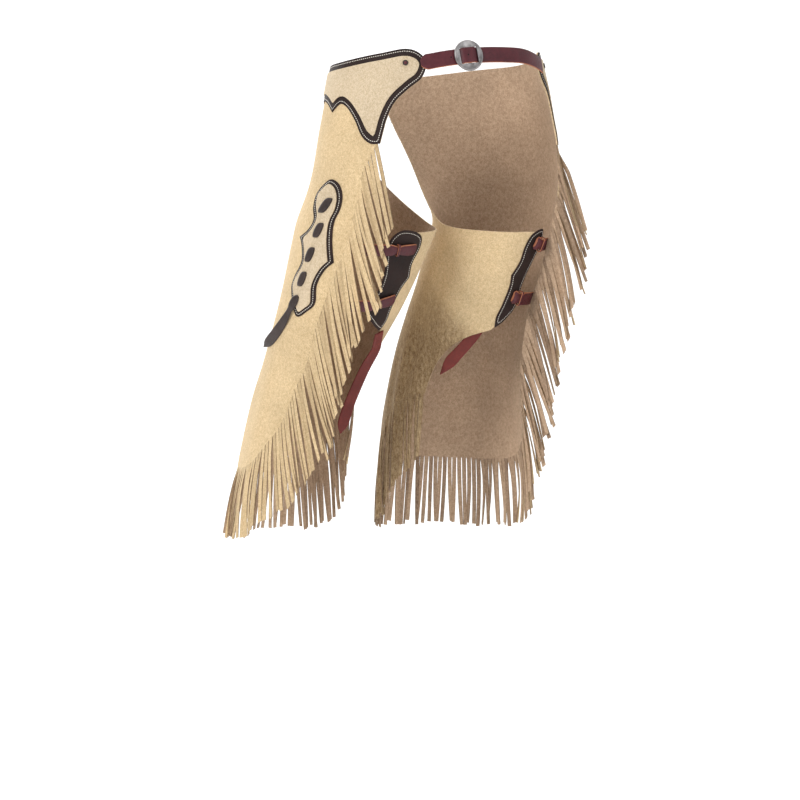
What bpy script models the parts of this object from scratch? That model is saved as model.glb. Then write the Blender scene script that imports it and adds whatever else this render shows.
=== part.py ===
"""Fringed leather chaps, worn: the wearer faces -Y and the wearer's left is +X.

The origin is the middle of the waist, at the height of the belt. Sizes are in metres and turns in degrees.
Each leg is cut flat, with an outline in turns round the leg and heights, then laid on a hollow worn form.
"""

import math
import random

import bpy
from mathutils import Vector
from mathutils.geometry import delaunay_2d_cdt

SUEDE = 0.0018
TRIM = 0.0014
STRAP = 0.0022
SEAM_GAP = 0.0003
BELT_WIDTH = 0.0215
CLOSURE_WIDTH = 0.0165
TAIL_WIDTH = 0.016
TAIL_TIP = 0.0015
YOKE_MARGIN = 0.010
BADGE_MARGIN = 0.0065
FRINGE_BAND = 0.0034
FRINGE_NOTCH = 0.0005
BACK_STRANDS = 41
HEM_STRANDS = 40
STRAND_THICKNESS = 0.0014
STRAND_BOW = 0.0022
STRAND_FILL = 0.82
STRAND_TAPER = 0.22
STRAND_LEAST_WIDTH = 0.0030
BUCKLE_RADIUS = 0.0212
BUCKLE_WALL = 0.0022
BUCKLE_BAR_WALL = 0.0010
BUCKLE_RIM = 0.0182
BUCKLE_SIDES = 40

# Heights above the inner face of the cloth at which each layer starts.
TRIM_LEVEL = SUEDE + SEAM_GAP
OVERLAY_LEVEL = TRIM_LEVEL + TRIM + SEAM_GAP
LACE_LEVEL = OVERLAY_LEVEL + TRIM + SEAM_GAP
BELT_LEVEL = OVERLAY_LEVEL + 0.0003

CLOTH_PER_DEGREE = 0.00155
GRID = 0.024
EDGE_STEP = 0.0125
TRIM_STEP = 0.009
FINE_STEP = 0.002

HAND = {"left": 1.0, "right": -1.0}
# The belt sits a little turned on the waist, so both legs are turned with it at the hip.
HIP_TURN = {"left": 10.0, "right": -10.0}
HIP_START = 38.0
HIP_PER_TURN = 0.59
HIP_TO_LEG = (-0.085, -0.235)
FLARE = 0.012

# height, centre y, half width, half depth
TORSO = (
    (0.040, 0.000, 0.138, 0.104),
    (0.000, 0.000, 0.147, 0.111),
    (-0.060, 0.002, 0.160, 0.122),
    (-0.120, 0.004, 0.172, 0.132),
    (-0.180, 0.006, 0.178, 0.134),
    (-0.240, 0.008, 0.180, 0.132),
)
# height, centre away from the middle, centre y, half width, half depth
LEGS = {
    "left": (
        (-0.100, 0.085, 0.002, 0.092, 0.110),
        (-0.180, 0.093, 0.000, 0.095, 0.105),
        (-0.240, 0.101, -0.020, 0.095, 0.098),
        (-0.338, 0.121, -0.050, 0.084, 0.088),
        (-0.448, 0.147, -0.096, 0.067, 0.078),
        (-0.531, 0.159, -0.120, 0.065, 0.076),
        (-0.614, 0.163, -0.136, 0.071, 0.078),
        (-0.690, 0.166, -0.142, 0.075, 0.080),
    ),
    "right": (
        (-0.100, 0.085, 0.002, 0.086, 0.108),
        (-0.180, 0.093, -0.002, 0.081, 0.098),
        (-0.235, 0.094, -0.014, 0.078, 0.086),
        (-0.312, 0.086, -0.046, 0.079, 0.083),
        (-0.359, 0.079, -0.064, 0.080, 0.084),
        (-0.414, 0.074, -0.078, 0.085, 0.088),
        (-0.465, 0.071, -0.086, 0.089, 0.091),
        (-0.537, 0.070, -0.090, 0.095, 0.094),
        (-0.614, 0.070, -0.091, 0.099, 0.096),
        (-0.690, 0.070, -0.091, 0.100, 0.096),
    ),
}
# turn, half width in degrees, height of the middle, half length, depth
FOLDS = {
    "left": (
        (18, 13, -0.470, 0.150, -0.0050),
        (-22, 12, -0.430, 0.170, -0.0045),
        (48, 12, -0.520, 0.110, 0.0040),
        (-62, 12, -0.400, 0.130, -0.0040),
        (-105, 14, -0.330, 0.100, -0.0030),
        (112, 12, -0.470, 0.100, -0.0035),
    ),
    "right": (
        (20, 13, -0.460, 0.160, -0.0050),
        (-20, 12, -0.450, 0.150, -0.0045),
        (52, 12, -0.510, 0.120, 0.0040),
        (-58, 12, -0.390, 0.130, -0.0040),
        (-112, 13, -0.360, 0.110, -0.0045),
        (-152, 16, -0.300, 0.070, -0.0030),
        (110, 12, -0.460, 0.110, -0.0035),
    ),
}

# Outlines of the leg panel: turn, height, 1 at a sharp corner.
YOKE_EDGE = (
    (-48, -0.094, 1),
    (-55, -0.070, 0),
    (-61, -0.046, 0),
    (-52, -0.034, 0),
    (-15, -0.027, 0),
    (30, -0.019, 0),
    (80, -0.013, 0),
    (128, -0.003, 0),
    (154, 0.003, 0),
    (168, -0.003, 0),
    (174, -0.017, 0),
    (170, -0.036, 0),
    (159, -0.050, 0),
    (147, -0.068, 0),
    (140.5, -0.090, 0),
    (138.5, -0.108, 0),
    (137.5, -0.124, 1),
)
BACK_EDGE = (
    (137.5, -0.124, 1),
    (133.5, -0.141, 0),
    (131, -0.166, 0),
    (138, -0.208, 0),
    (142, -0.255, 0),
    (139.5, -0.312, 0),
    (138.5, -0.375, 0),
    (142, -0.425, 0),
    (139, -0.454, 0),
    (137, -0.478, 0),
    (135, -0.500, 0),
    (130, -0.520, 0),
    (121, -0.537, 0),
    (107, -0.562, 0),
    (89, -0.5735, 1),
)
HEM = (
    (89, -0.5735, 1),
    (60, -0.5765, 0),
    (20, -0.5745, 0),
    (-25, -0.566, 0),
    (-54, -0.548, 0),
    (-76, -0.520, 0),
    (-94, -0.492, 0),
    (-110, -0.477, 0),
    (-126, -0.473, 1),
)
INNER_EDGE = (
    (-126, -0.473, 1),
    (-129, -0.450, 0),
    (-134, -0.425, 0),
    (-144, -0.4025, 0),
    (-158, -0.3890, 0),
    (-172, -0.3825, 0),
)
WRAP_TOP = (
    (-189, -0.2435, 0),
    (-166, -0.2435, 0),
    (-134, -0.2410, 0),
    (-106, -0.2370, 0),
    (-84, -0.2290, 0),
    (-64, -0.2110, 0),
    (-50, -0.1860, 0),
    (-42, -0.1550, 0),
    (-42, -0.1240, 0),
    (-48, -0.0940, 1),
)
# The inner edge of the left leg lies further forward, because the wrap is drawn up less.
INNER_SHIFT = {"left": 13.0, "right": 0.0}

# Lower edge of the yoke trim, from its back corner to its front corner.
SCALLOP = (
    (137.5, -0.124, 1),
    (129, -0.1240, 0),
    (119, -0.1135, 0),
    (108.5, -0.092, 0),
    (97, -0.0755, 0),
    (86, -0.0705, 0),
    (74.5, -0.0815, 1),
    (60, -0.0700, 0),
    (40, -0.0660, 0),
    (16, -0.0720, 0),
    (-8, -0.0870, 0),
    (-28, -0.0970, 0),
    (-48, -0.0940, 1),
)
BADGE = (
    (90, -0.190, 0),
    (99, -0.1725, 0),
    (110, -0.1765, 0),
    (119, -0.191, 0),
    (124, -0.210, 0),
    (124.5, -0.228, 0),
    (128, -0.253, 0),
    (134.5, -0.283, 1),
    (129, -0.294, 0),
    (126, -0.314, 0),
    (129, -0.338, 0),
    (124, -0.3495, 0),
    (115, -0.357, 0),
    (103.5, -0.337, 0),
    (95.5, -0.316, 1),
    (98, -0.301, 0),
    (103, -0.283, 0),
    (97, -0.261, 0),
    (90, -0.2495, 1),
    (100, -0.240, 0),
    (103, -0.226, 0),
    (94, -0.208, 0),
)
# Closure plate: across from the inner side (-1) to the open side (1), height, sharp.
PLATE = (
    (0.60, -0.2395, 0),
    (-0.05, -0.2400, 0),
    (-0.75, -0.2480, 0),
    (-0.96, -0.2640, 0),
    (-0.82, -0.2840, 0),
    (-1.10, -0.3030, 1),
    (-0.78, -0.3200, 0),
    (-0.72, -0.3450, 0),
    (-0.86, -0.3620, 0),
    (-0.70, -0.3765, 1),
    (-0.05, -0.3690, 0),
    (0.85, -0.3530, 1),
    (0.98, -0.3400, 0),
    (0.68, -0.3220, 0),
    (0.70, -0.3000, 0),
    (0.90, -0.2800, 0),
    (1.08, -0.2620, 1),
    (0.96, -0.2480, 0),
)
# The plate's middle turn and half width in degrees on each leg, and how far it slants from top to bottom.
PLATE_PLACE = {"left": (-169.0, 17.5), "right": (-197.0, 11.5)}
PLATE_SLANT = {"left": 0.0, "right": 12.0}
PLATE_HEIGHTS = (-0.240, -0.377)
PANEL_END_TOP = -0.244
PANEL_END_FOOT = (-0.3795, -0.3710, -0.3580)
PANEL_END_ACROSS = 0.35

BADGE_LOOPS = ((110.0, -0.2070), (114.0, -0.2400), (112.8, -0.2730), (111.5, -0.3060))
LACE_HALF_WIDTH = 0.0056
LACE_HALF_LENGTH = 0.0098
LACE_SIDES = 8
LACE_THICKNESS = 0.0018
# Knot and tail of the badge lace: turn, height, out, width, thickness.
LACE_TAIL = (
    (112.0, -0.3290, 0.0062, 0.0050, 0.0018),
    (110.5, -0.3345, 0.0066, 0.0120, 0.0026),
    (108.0, -0.3430, 0.0066, 0.0120, 0.0026),
    (105.5, -0.3520, 0.0062, 0.0095, 0.0018),
    (100.5, -0.3690, 0.0046, 0.0120, 0.0016),
    (92.0, -0.3850, 0.0042, 0.0130, 0.0016),
    (80.0, -0.3970, 0.0050, 0.0110, 0.0016),
    (71.0, -0.4030, 0.0060, 0.0015, 0.0014),
)
RIVET_PLACE = (155.0, -0.0165)
RIVET_SIDES = 14
RIVET_GAP = 0.0002
# Rivet: radius, height.
RIVET_RINGS = ((0.0036, 0.0), (0.0036, 0.0006), (0.0022, 0.0013))

# Closure straps: height on the leg, and where they end and are held, as across values on the plate.
CLOSURES = {
    "left": {"upper": -0.2640, "lower": -0.3370},
    "right": {"upper": -0.2610, "lower": -0.3350},
}
CLOSURE_EDGE_TURN = 141.0
CLOSURE_TUCK = 8.0
CLOSURE_BEHIND = 0.0018
CLOSURE_LIFT = 0.0005
CLOSURE_RISE = 0.0004
KEEPER_TURN = 4.0
STRAP_END = {"left": -0.50, "right": -0.10}
KEEPER_ACROSS = {"left": 0.55, "right": 0.62}
KEEPER_WIDTH = 0.0050
KEEPER_WALL = 0.0013
KEEPER_GAP = 0.0004
KEEPER_LIFT = 0.0007
# Free tail of the lower closure: turn, height, out, and the turn that its outer face looks towards.
TAILS = {
    "left": (
        (-156, -0.3785, 0.0036, -158),
        (-150, -0.3915, 0.0036, -164),
        (-140, -0.4060, 0.0020, -174),
        (-133, -0.4340, 0.0000, -182),
        (-135, -0.4780, -0.0010, -186),
        (-141, -0.5080, -0.0010, -186),
        (-145, -0.5220, -0.0010, -186),
    ),
    "right": (
        (-172, -0.3690, -0.0036, -172),
        (-165, -0.3860, -0.0030, -165),
        (-158, -0.4005, -0.0028, -158),
        (-151, -0.4140, -0.0028, -151),
        (-145, -0.4260, -0.0032, -145),
        (-138, -0.4420, -0.0036, -138),
    ),
}

# How each fringe is cut: share down a strand and skew of each ring, then the seed of the lengths.
BACK_RINGS = ((0.09, 0.9), (0.5, 0.6), (1.0, 0.35))
HEM_RINGS = ((0.5, 0.7), (1.0, 0.5))
BACK_CUT = {"left": (BACK_RINGS, 11), "right": (BACK_RINGS, 12)}
HEM_CUT = {"left": (HEM_RINGS, 45), "right": (HEM_RINGS, 32)}
# How it hangs: share along the edge, length, lean away from the edge, lift, hug of the slope.
BACK_HANG = {
    "left": (
        (0.00, 0.122, 0.56, 0.25, 0.75),
        (0.12, 0.126, 0.44, 0.25, 0.75),
        (0.22, 0.125, 0.38, 0.25, 0.75),
        (0.31, 0.122, 0.26, 0.25, 0.75),
        (0.42, 0.124, 0.30, 0.25, 0.75),
        (0.60, 0.126, 0.34, 0.25, 0.75),
        (0.80, 0.112, 0.34, 0.25, 0.75),
        (1.00, 0.098, 0.34, 0.25, 0.75),
    ),
    "right": (
        (0.00, 0.118, 0.34, 0.20, 0.00),
        (0.05, 0.122, 0.28, 0.30, 0.00),
        (0.10, 0.126, 0.22, 0.40, 0.00),
        (0.16, 0.126, 0.22, 0.38, 0.00),
        (0.24, 0.126, 0.22, 0.38, 0.00),
        (0.32, 0.126, 0.20, 0.42, 0.00),
        (0.44, 0.126, 0.20, 0.46, 0.00),
        (0.60, 0.124, 0.20, 0.42, 0.00),
        (0.72, 0.116, 0.22, 0.30, 0.00),
        (0.85, 0.106, 0.28, 0.10, 0.20),
        (1.00, 0.092, 0.32, 0.02, 0.50),
    ),
}
HEM_HANG = {
    "left": (
        (0.00, 0.098, 0.05, 0.16, 0.75),
        (0.45, 0.100, 0.05, 0.16, 0.75),
        (0.62, 0.116, 0.05, 0.16, 0.75),
        (0.78, 0.124, 0.05, 0.16, 0.75),
        (0.90, 0.110, 0.05, 0.16, 0.75),
        (1.00, 0.088, 0.05, 0.16, 0.75),
    ),
    "right": (
        (0.00, 0.096, 0.05, 0.06, 0.45),
        (0.45, 0.100, 0.05, 0.16, 0.60),
        (0.62, 0.116, 0.05, 0.06, 0.20),
        (0.78, 0.124, 0.05, 0.03, 0.00),
        (0.90, 0.110, 0.05, 0.03, 0.00),
        (1.00, 0.088, 0.05, 0.03, 0.10),
    ),
}
LEAST_LIFT = 0.03
HANG_SMOOTHING = 4

# Belt line round the waist: angle from the front towards the wearer's left, height.
BELT_LINE = (
    (140.0, -0.0200),
    (150.0, -0.0158),
    (160.0, -0.0110),
    (170.0, -0.0074),
    (180.0, -0.0052),
    (195.0, -0.0042),
    (210.0, -0.0052),
    (222.0, -0.0104),
    (236.0, -0.0194),
)
BELT_ENDS = (147.6, 232.4)
BUCKLE_ANGLE = 173.0
BELT_PER_DEGREE = 0.00257
WINDOW_HALF_WIDTH = 0.0130
WINDOW_HALF_HEIGHT = 0.0110
BAR_HALF_WIDTH = 0.0025
BUCKLE_DOME = 0.0008
BUCKLE_LEVEL = 0.0070
BELT_TO_BUCKLE = 0.0140
BELT_PIECES = {"left": 6, "right": 12}
# The right strap where it rises through the buckle: distance from the buckle's middle, out.
STRAP_OVER_BAR = (
    (-0.0119, 0.0052),
    (-0.0110, 0.0066),
    (-0.0082, 0.0089),
    (-0.0050, 0.0100),
    (0.0000, 0.0102),
    (0.0050, 0.0100),
    (0.0082, 0.0089),
    (0.0118, 0.0056),
    (0.0160, 0.0051),
)

FRONT_TIE_HEIGHT = -0.056
# Front tie: angle from the front, out, width, thickness.
FRONT_TIE = (
    (-4.5, 0.0068, 0.0070, 0.0018),
    (2.5, 0.0068, 0.0080, 0.0020),
    (6.5, 0.0076, 0.0080, 0.0024),
    (8.5, 0.0080, 0.0120, 0.0050),
    (11.5, 0.0080, 0.0120, 0.0050),
    (13.5, 0.0076, 0.0080, 0.0024),
    (17.5, 0.0068, 0.0080, 0.0020),
    (24.5, 0.0068, 0.0070, 0.0018),
)

# colour, roughness, metallic
FINISHES = {
    "suede": ((0.66, 0.50, 0.29), 0.92, 0.0),
    "dark_leather": ((0.045, 0.030, 0.026), 0.60, 0.0),
    "cream_leather": ((0.78, 0.65, 0.43), 0.80, 0.0),
    "burgundy_leather": ((0.16, 0.030, 0.032), 0.45, 0.0),
    "brushed_steel": ((0.62, 0.61, 0.58), 0.32, 1.0),
}


def clear_scene():
    for obj in list(bpy.data.objects):
        bpy.data.objects.remove(obj)


def make_finishes():
    for name, (colour, roughness, metallic) in FINISHES.items():
        material = bpy.data.materials.new(name)
        material.use_nodes = True
        shader = material.node_tree.nodes["Principled BSDF"]
        shader.inputs["Base Color"].default_value = (*colour, 1.0)
        shader.inputs["Roughness"].default_value = roughness
        shader.inputs["Metallic"].default_value = metallic
        material.diffuse_color = (*colour, 1.0)


def add_piece(name, points, faces, finish):
    mesh = bpy.data.meshes.new(name)
    mesh.from_pydata([tuple(point) for point in points], [], faces)
    mesh.materials.append(bpy.data.materials[finish])
    mesh.shade_smooth()
    mesh.set_sharp_from_angle(angle=math.radians(35))
    obj = bpy.data.objects.new(name, mesh)
    bpy.context.scene.collection.objects.link(obj)
    return obj


def ease(share):
    share = min(max(share, 0.0), 1.0)
    return share * share * (3 - 2 * share)


def through_rows(rows, position):
    """A smooth curve through the rows' other columns, at this value of their first one."""
    rows = rows if rows[0][0] < rows[-1][0] else rows[::-1]
    position = min(max(position, rows[0][0]), rows[-1][0])
    i = max(k for k in range(len(rows) - 1) if rows[k][0] <= position)
    before, start, end, after = rows[max(i - 1, 0)], rows[i], rows[i + 1], rows[min(i + 2, len(rows) - 1)]
    step = end[0] - start[0]
    t = (position - start[0]) / step
    found = []
    for c in range(1, len(start)):
        leaving = (end[c] - before[c]) / (end[0] - before[0]) * step
        arriving = (after[c] - start[c]) / (after[0] - start[0]) * step
        found.append(
            (2 * t**3 - 3 * t**2 + 1) * start[c]
            + (t**3 - 2 * t**2 + t) * leaving
            + (3 * t**2 - 2 * t**3) * end[c]
            + (t**3 - t**2) * arriving
        )
    return found


def waist_base(angle, height):
    centre_y, half_width, half_depth = through_rows(TORSO, height)
    a = math.radians(angle)
    return Vector((half_width * math.sin(a), centre_y - half_depth * math.cos(a), height))


def waist_outward(angle, height):
    across = waist_base(angle + 1.0, height) - waist_base(angle - 1.0, height)
    up = waist_base(angle, height + 0.004) - waist_base(angle, height - 0.004)
    return across.cross(up).normalized()


def waist_point(angle, height, out=0.0):
    """A point on the waist form, at an angle from the front towards the wearer's left."""
    return waist_base(angle, height) + out * waist_outward(angle, height)


def folded(side, turn, height):
    depth = FLARE * ease((turn - 75) / 60) * ease((-0.14 - height) / 0.18)
    for fold_turn, half_width, middle, half_length, fold_depth in FOLDS[side]:
        across = (turn - fold_turn) / half_width
        along = (height - middle) / half_length
        depth += fold_depth * math.exp(-across * across) * ease(1.5 - 1.5 * abs(along))
    return depth


def base_point(side, turn, height):
    """A point on the inner face of the worn cloth."""
    hip = waist_base(HIP_START + HIP_PER_TURN * turn + HIP_TURN[side], height)
    centre_x, centre_y, half_width, half_depth = through_rows(LEGS[side], height)
    a = math.radians(turn)
    fold = folded(side, turn, height)
    leg = Vector(
        (centre_x + (half_width + fold) * math.sin(a), centre_y - (half_depth + fold) * math.cos(a), height)
    )
    start, end = HIP_TO_LEG
    point = hip.lerp(leg, ease((start - height) / (start - end)))
    return Vector((HAND[side] * point.x, point.y, point.z))


def outward(side, turn, height):
    across = base_point(side, turn + 1.5, height) - base_point(side, turn - 1.5, height)
    up = base_point(side, turn, height + 0.004) - base_point(side, turn, height - 0.004)
    return HAND[side] * across.cross(up).normalized()


def worn_point(side, turn, height, out=0.0):
    return base_point(side, turn, height) + out * outward(side, turn, height)


def flat(turn, height):
    return Vector((turn * CLOTH_PER_DEGREE, height))


def spline_point(before, start, end, after, t):
    return 0.5 * (
        2 * start
        + t * (end - before)
        + t * t * (2 * before - 5 * start + 4 * end - after)
        + t**3 * (3 * start - before - 3 * end + after)
    )


def trace(rows, step, closed=False):
    """A smooth line in the flat cloth through the rows, which turns sharply only at flagged ones."""
    points = [flat(row[0], row[1]) for row in rows]
    sharp = [bool(row[2]) for row in rows]
    count = len(points)
    dense = []
    for i in range(count if closed else count - 1):
        start, end = points[i], points[(i + 1) % count]
        keeps_on = not sharp[i] and (closed or i > 0)
        goes_on = not sharp[(i + 1) % count] and (closed or i + 2 < count)
        before = points[i - 1] if keeps_on else start
        after = points[(i + 2) % count] if goes_on else end
        pieces = max(1, round((end - start).length / step))
        dense += [spline_point(before, start, end, after, k / pieces) for k in range(pieces)]
    return dense if closed else dense + [points[-1]]


def even_line(line, pieces):
    """The line again, with this many stretches of equal length."""
    lengths = [0.0]
    for start, end in zip(line, line[1:]):
        lengths.append(lengths[-1] + (end - start).length)
    found = []
    i = 0
    for k in range(pieces + 1):
        wanted = lengths[-1] * k / pieces
        while i < len(line) - 2 and lengths[i + 1] < wanted:
            i += 1
        share = (wanted - lengths[i]) / (lengths[i + 1] - lengths[i])
        found.append(line[i].lerp(line[i + 1], share))
    return found


def distance_to_loop(point, loop):
    nearest = 1.0
    for start, end in zip(loop, loop[1:] + loop[:1]):
        along = end - start
        share = min(max((point - start).dot(along) / along.length_squared, 0.0), 1.0)
        nearest = min(nearest, (start + share * along - point).length)
    return nearest


def inside(point, loop):
    found = False
    for start, end in zip(loop, loop[1:] + loop[:1]):
        if (start.y > point.y) != (end.y > point.y):
            if point.x < start.x + (point.y - start.y) / (end.y - start.y) * (end.x - start.x):
                found = not found
    return found


def inset(loop, margin, least):
    """The loop moved inwards, without the points that would crowd or cross."""
    moved = []
    for i, point in enumerate(loop):
        along = (loop[(i + 1) % len(loop)] - loop[i - 1]).normalized()
        for across in (Vector((-along.y, along.x)), Vector((along.y, -along.x))):
            place = point + margin * across
            if inside(place, loop) and distance_to_loop(place, loop) > 0.96 * margin:
                if not moved or (place - moved[-1]).length > least:
                    moved.append(place)
    if (moved[0] - moved[-1]).length < least:
        moved.pop()
    return moved


def lace_loop(middle):
    loop = []
    for k in range(LACE_SIDES):
        turn = 2 * math.pi * k / LACE_SIDES
        loop.append(middle + Vector((LACE_HALF_WIDTH * math.cos(turn), LACE_HALF_LENGTH * math.sin(turn))))
    return loop


def plate_middle(side, height):
    """The turn of the plate's middle at this height: the plate slants across the back of the leg."""
    top, foot = PLATE_HEIGHTS
    return PLATE_PLACE[side][0] + PLATE_SLANT[side] * ((top - height) / (top - foot) - 0.5)


def leg_outlines(side):
    """The loops of every piece that lies flat on one leg, sharing their points where they share an edge."""
    yoke = trace(YOKE_EDGE, EDGE_STEP)
    back = even_line(trace(BACK_EDGE, FINE_STEP), BACK_STRANDS)
    hem_rows = []
    for turn, height, sharp in HEM:
        hem_rows.append((turn + INNER_SHIFT[side] * ease((-60 - turn) / 60), height, sharp))
    hem = even_line(trace(hem_rows, FINE_STEP), HEM_STRANDS)
    half = PLATE_PLACE[side][1]
    foot, rise, corner = PANEL_END_FOOT
    past_foot = plate_middle(side, foot) + 0.95 * half
    inner_rows = [(turn + INNER_SHIFT[side], height, sharp) for turn, height, sharp in INNER_EDGE]
    inner_rows = [row for row in inner_rows if row[0] > past_foot + 4]
    inner_rows.append((past_foot, foot, 0))
    inner_rows.append((plate_middle(side, rise) + 0.50 * half, rise, 0))
    inner_rows.append((plate_middle(side, corner) - PANEL_END_ACROSS * half, corner, 1))
    inner = trace(inner_rows, EDGE_STEP)
    top_middle = plate_middle(side, PANEL_END_TOP)
    top_rows = [(top_middle - PANEL_END_ACROSS * half, PANEL_END_TOP, 1)]
    top_rows += [row for row in WRAP_TOP if row[0] > top_middle + 4]
    top = trace(top_rows, EDGE_STEP)
    panel = yoke[:-1] + back[:-1] + hem[:-1] + inner + top[:-1]
    scallop = trace(SCALLOP, TRIM_STEP)
    trim = yoke[:-1] + scallop[:-1]
    badge = trace(BADGE, TRIM_STEP, closed=True)
    plate_rows = []
    for across, height, sharp in PLATE:
        plate_rows.append((plate_middle(side, height) - across * half, height, sharp))
    loops = {
        "panel": panel,
        "yoke_trim": trim,
        "yoke_overlay": inset(trim, YOKE_MARGIN, 0.004),
        "badge_base": badge,
        "badge_overlay": inset(badge, BADGE_MARGIN, 0.003),
        "plate": trace(plate_rows, TRIM_STEP, closed=True),
    }
    for number, (turn, height) in enumerate(BADGE_LOOPS, 1):
        loops[f"badge_lace_{number}"] = lace_loop(flat(turn, height))
    return loops, back, hem


def lay_out(loops):
    """One net of triangles for the whole leg, with every outline among its edges."""
    corners = []
    index = {}
    edges = set()

    def corner(point):
        key = (round(point.x, 6), round(point.y, 6))
        if key not in index:
            index[key] = len(corners)
            corners.append(Vector(key))
        return index[key]

    for loop in loops.values():
        ids = [corner(point) for point in loop]
        for a, b in zip(ids, ids[1:] + ids[:1]):
            if a != b:
                edges.add((min(a, b), max(a, b)))
    outline = loops["panel"]
    fixed = list(corners)
    low_x, high_x = min(p.x for p in outline), max(p.x for p in outline)
    low_y, high_y = min(p.y for p in outline), max(p.y for p in outline)
    row_height = GRID * math.sqrt(0.75)
    for row in range(int((high_y - low_y) / row_height) + 1):
        for column in range(int((high_x - low_x) / GRID) + 2):
            place = Vector((low_x + GRID * (column + 0.5 * (row % 2)), low_y + row_height * row))
            if inside(place, outline) and min((place - other).length for other in fixed) > 0.55 * GRID:
                corner(place)
    net = delaunay_2d_cdt(corners, sorted(edges), [], 0, 1e-7, False)
    return net[0], net[2]


def wall(name, side, corners, triangles, level, thickness, finish):
    """A closed wall over these triangles of the flat net, laid on the worn form."""
    used = sorted({c for triangle in triangles for c in triangle})
    place = {c: i for i, c in enumerate(used)}
    points = []
    for out in (level, level + thickness):
        points += [worn_point(side, corners[c].x / CLOTH_PER_DEGREE, corners[c].y, out) for c in used]
    lower = 0
    upper = len(used)
    faces = []
    counts = set()
    for triangle in triangles:
        a, b, c = (place[corner] for corner in triangle)
        if HAND[side] < 0:
            b, c = c, b
        faces += [(upper + a, upper + b, upper + c), (lower + a, lower + c, lower + b)]
        counts |= {(a, b), (b, c), (c, a)}
    for a, b in sorted(counts):
        if (b, a) not in counts:
            faces.append((a, b, upper + b, upper + a))
    return add_piece(name, points, faces, finish)


def counter_clockwise(corners, triangle):
    a, b, c = (corners[i] for i in triangle)
    return (b - a).cross(c - a) > 0


def make_flat_pieces(side):
    loops, back, hem = leg_outlines(side)
    corners, triangles = lay_out(loops)
    triangles = [t if counter_clockwise(corners, t) else (t[0], t[2], t[1]) for t in triangles]
    middles = [(corners[a] + corners[b] + corners[c]) / 3 for a, b, c in triangles]
    layers = {
        "panel": (0.0, SUEDE, "suede"),
        "yoke_trim": (TRIM_LEVEL, TRIM, "dark_leather"),
        "yoke_overlay": (OVERLAY_LEVEL, TRIM, "cream_leather"),
        "badge_base": (TRIM_LEVEL, TRIM, "dark_leather"),
        "badge_overlay": (OVERLAY_LEVEL, TRIM, "cream_leather"),
        "plate": (TRIM_LEVEL, TRIM, "dark_leather"),
    }
    for number in range(1, len(BADGE_LOOPS) + 1):
        layers[f"badge_lace_{number}"] = (LACE_LEVEL, LACE_THICKNESS, "dark_leather")
    for piece, (level, thickness, finish) in layers.items():
        chosen = [t for t, middle in zip(triangles, middles) if inside(middle, loops[piece])]
        wall(f"{piece}_{side}", side, corners, chosen, level, thickness, finish)
    return back, hem


def edge_frames(side, line):
    """For each point of a cut edge: its place, the way out of the cloth, and the way out of the edge."""
    places = [worn_point(side, p.x / CLOTH_PER_DEGREE, p.y) for p in line]
    frames = []
    for i, point in enumerate(line):
        along = (places[min(i + 1, len(places) - 1)] - places[max(i - 1, 0)]).normalized()
        out = outward(side, point.x / CLOTH_PER_DEGREE, point.y)
        frames.append((places[i], out, (HAND[side] * out.cross(along)).normalized()))
    return frames


def strand_rings(side, root, edge, out, away, hang, shares):
    """Cross-sections of one strand, cut along its own fall, from just past its root down to its tip."""
    length, lean, lift, hug = hang
    down = Vector((0, 0, -1))
    down = (down - hug * down.dot(out) * out).normalized()
    fall = (down + lean * away + lift * out).normalized()
    along_fall = edge.dot(fall) * fall
    wide = edge - along_fall
    thin = (HAND[side] * wide.cross(fall)).normalized()
    wide *= max(1.0, STRAND_LEAST_WIDTH / wide.length)
    rings = []
    for share, skew in shares:
        middle = root + length * share * fall + STRAND_BOW * math.sin(math.pi * share) * thin
        half_wide = 0.5 * (1 - STRAND_TAPER * share) * (wide + skew * along_fall)
        half_thin = 0.5 * STRAND_THICKNESS * thin
        rings.append(
            (
                middle - half_wide - half_thin,
                middle + half_wide - half_thin,
                middle + half_wide + half_thin,
                middle - half_wide + half_thin,
            )
        )
    return rings


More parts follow.
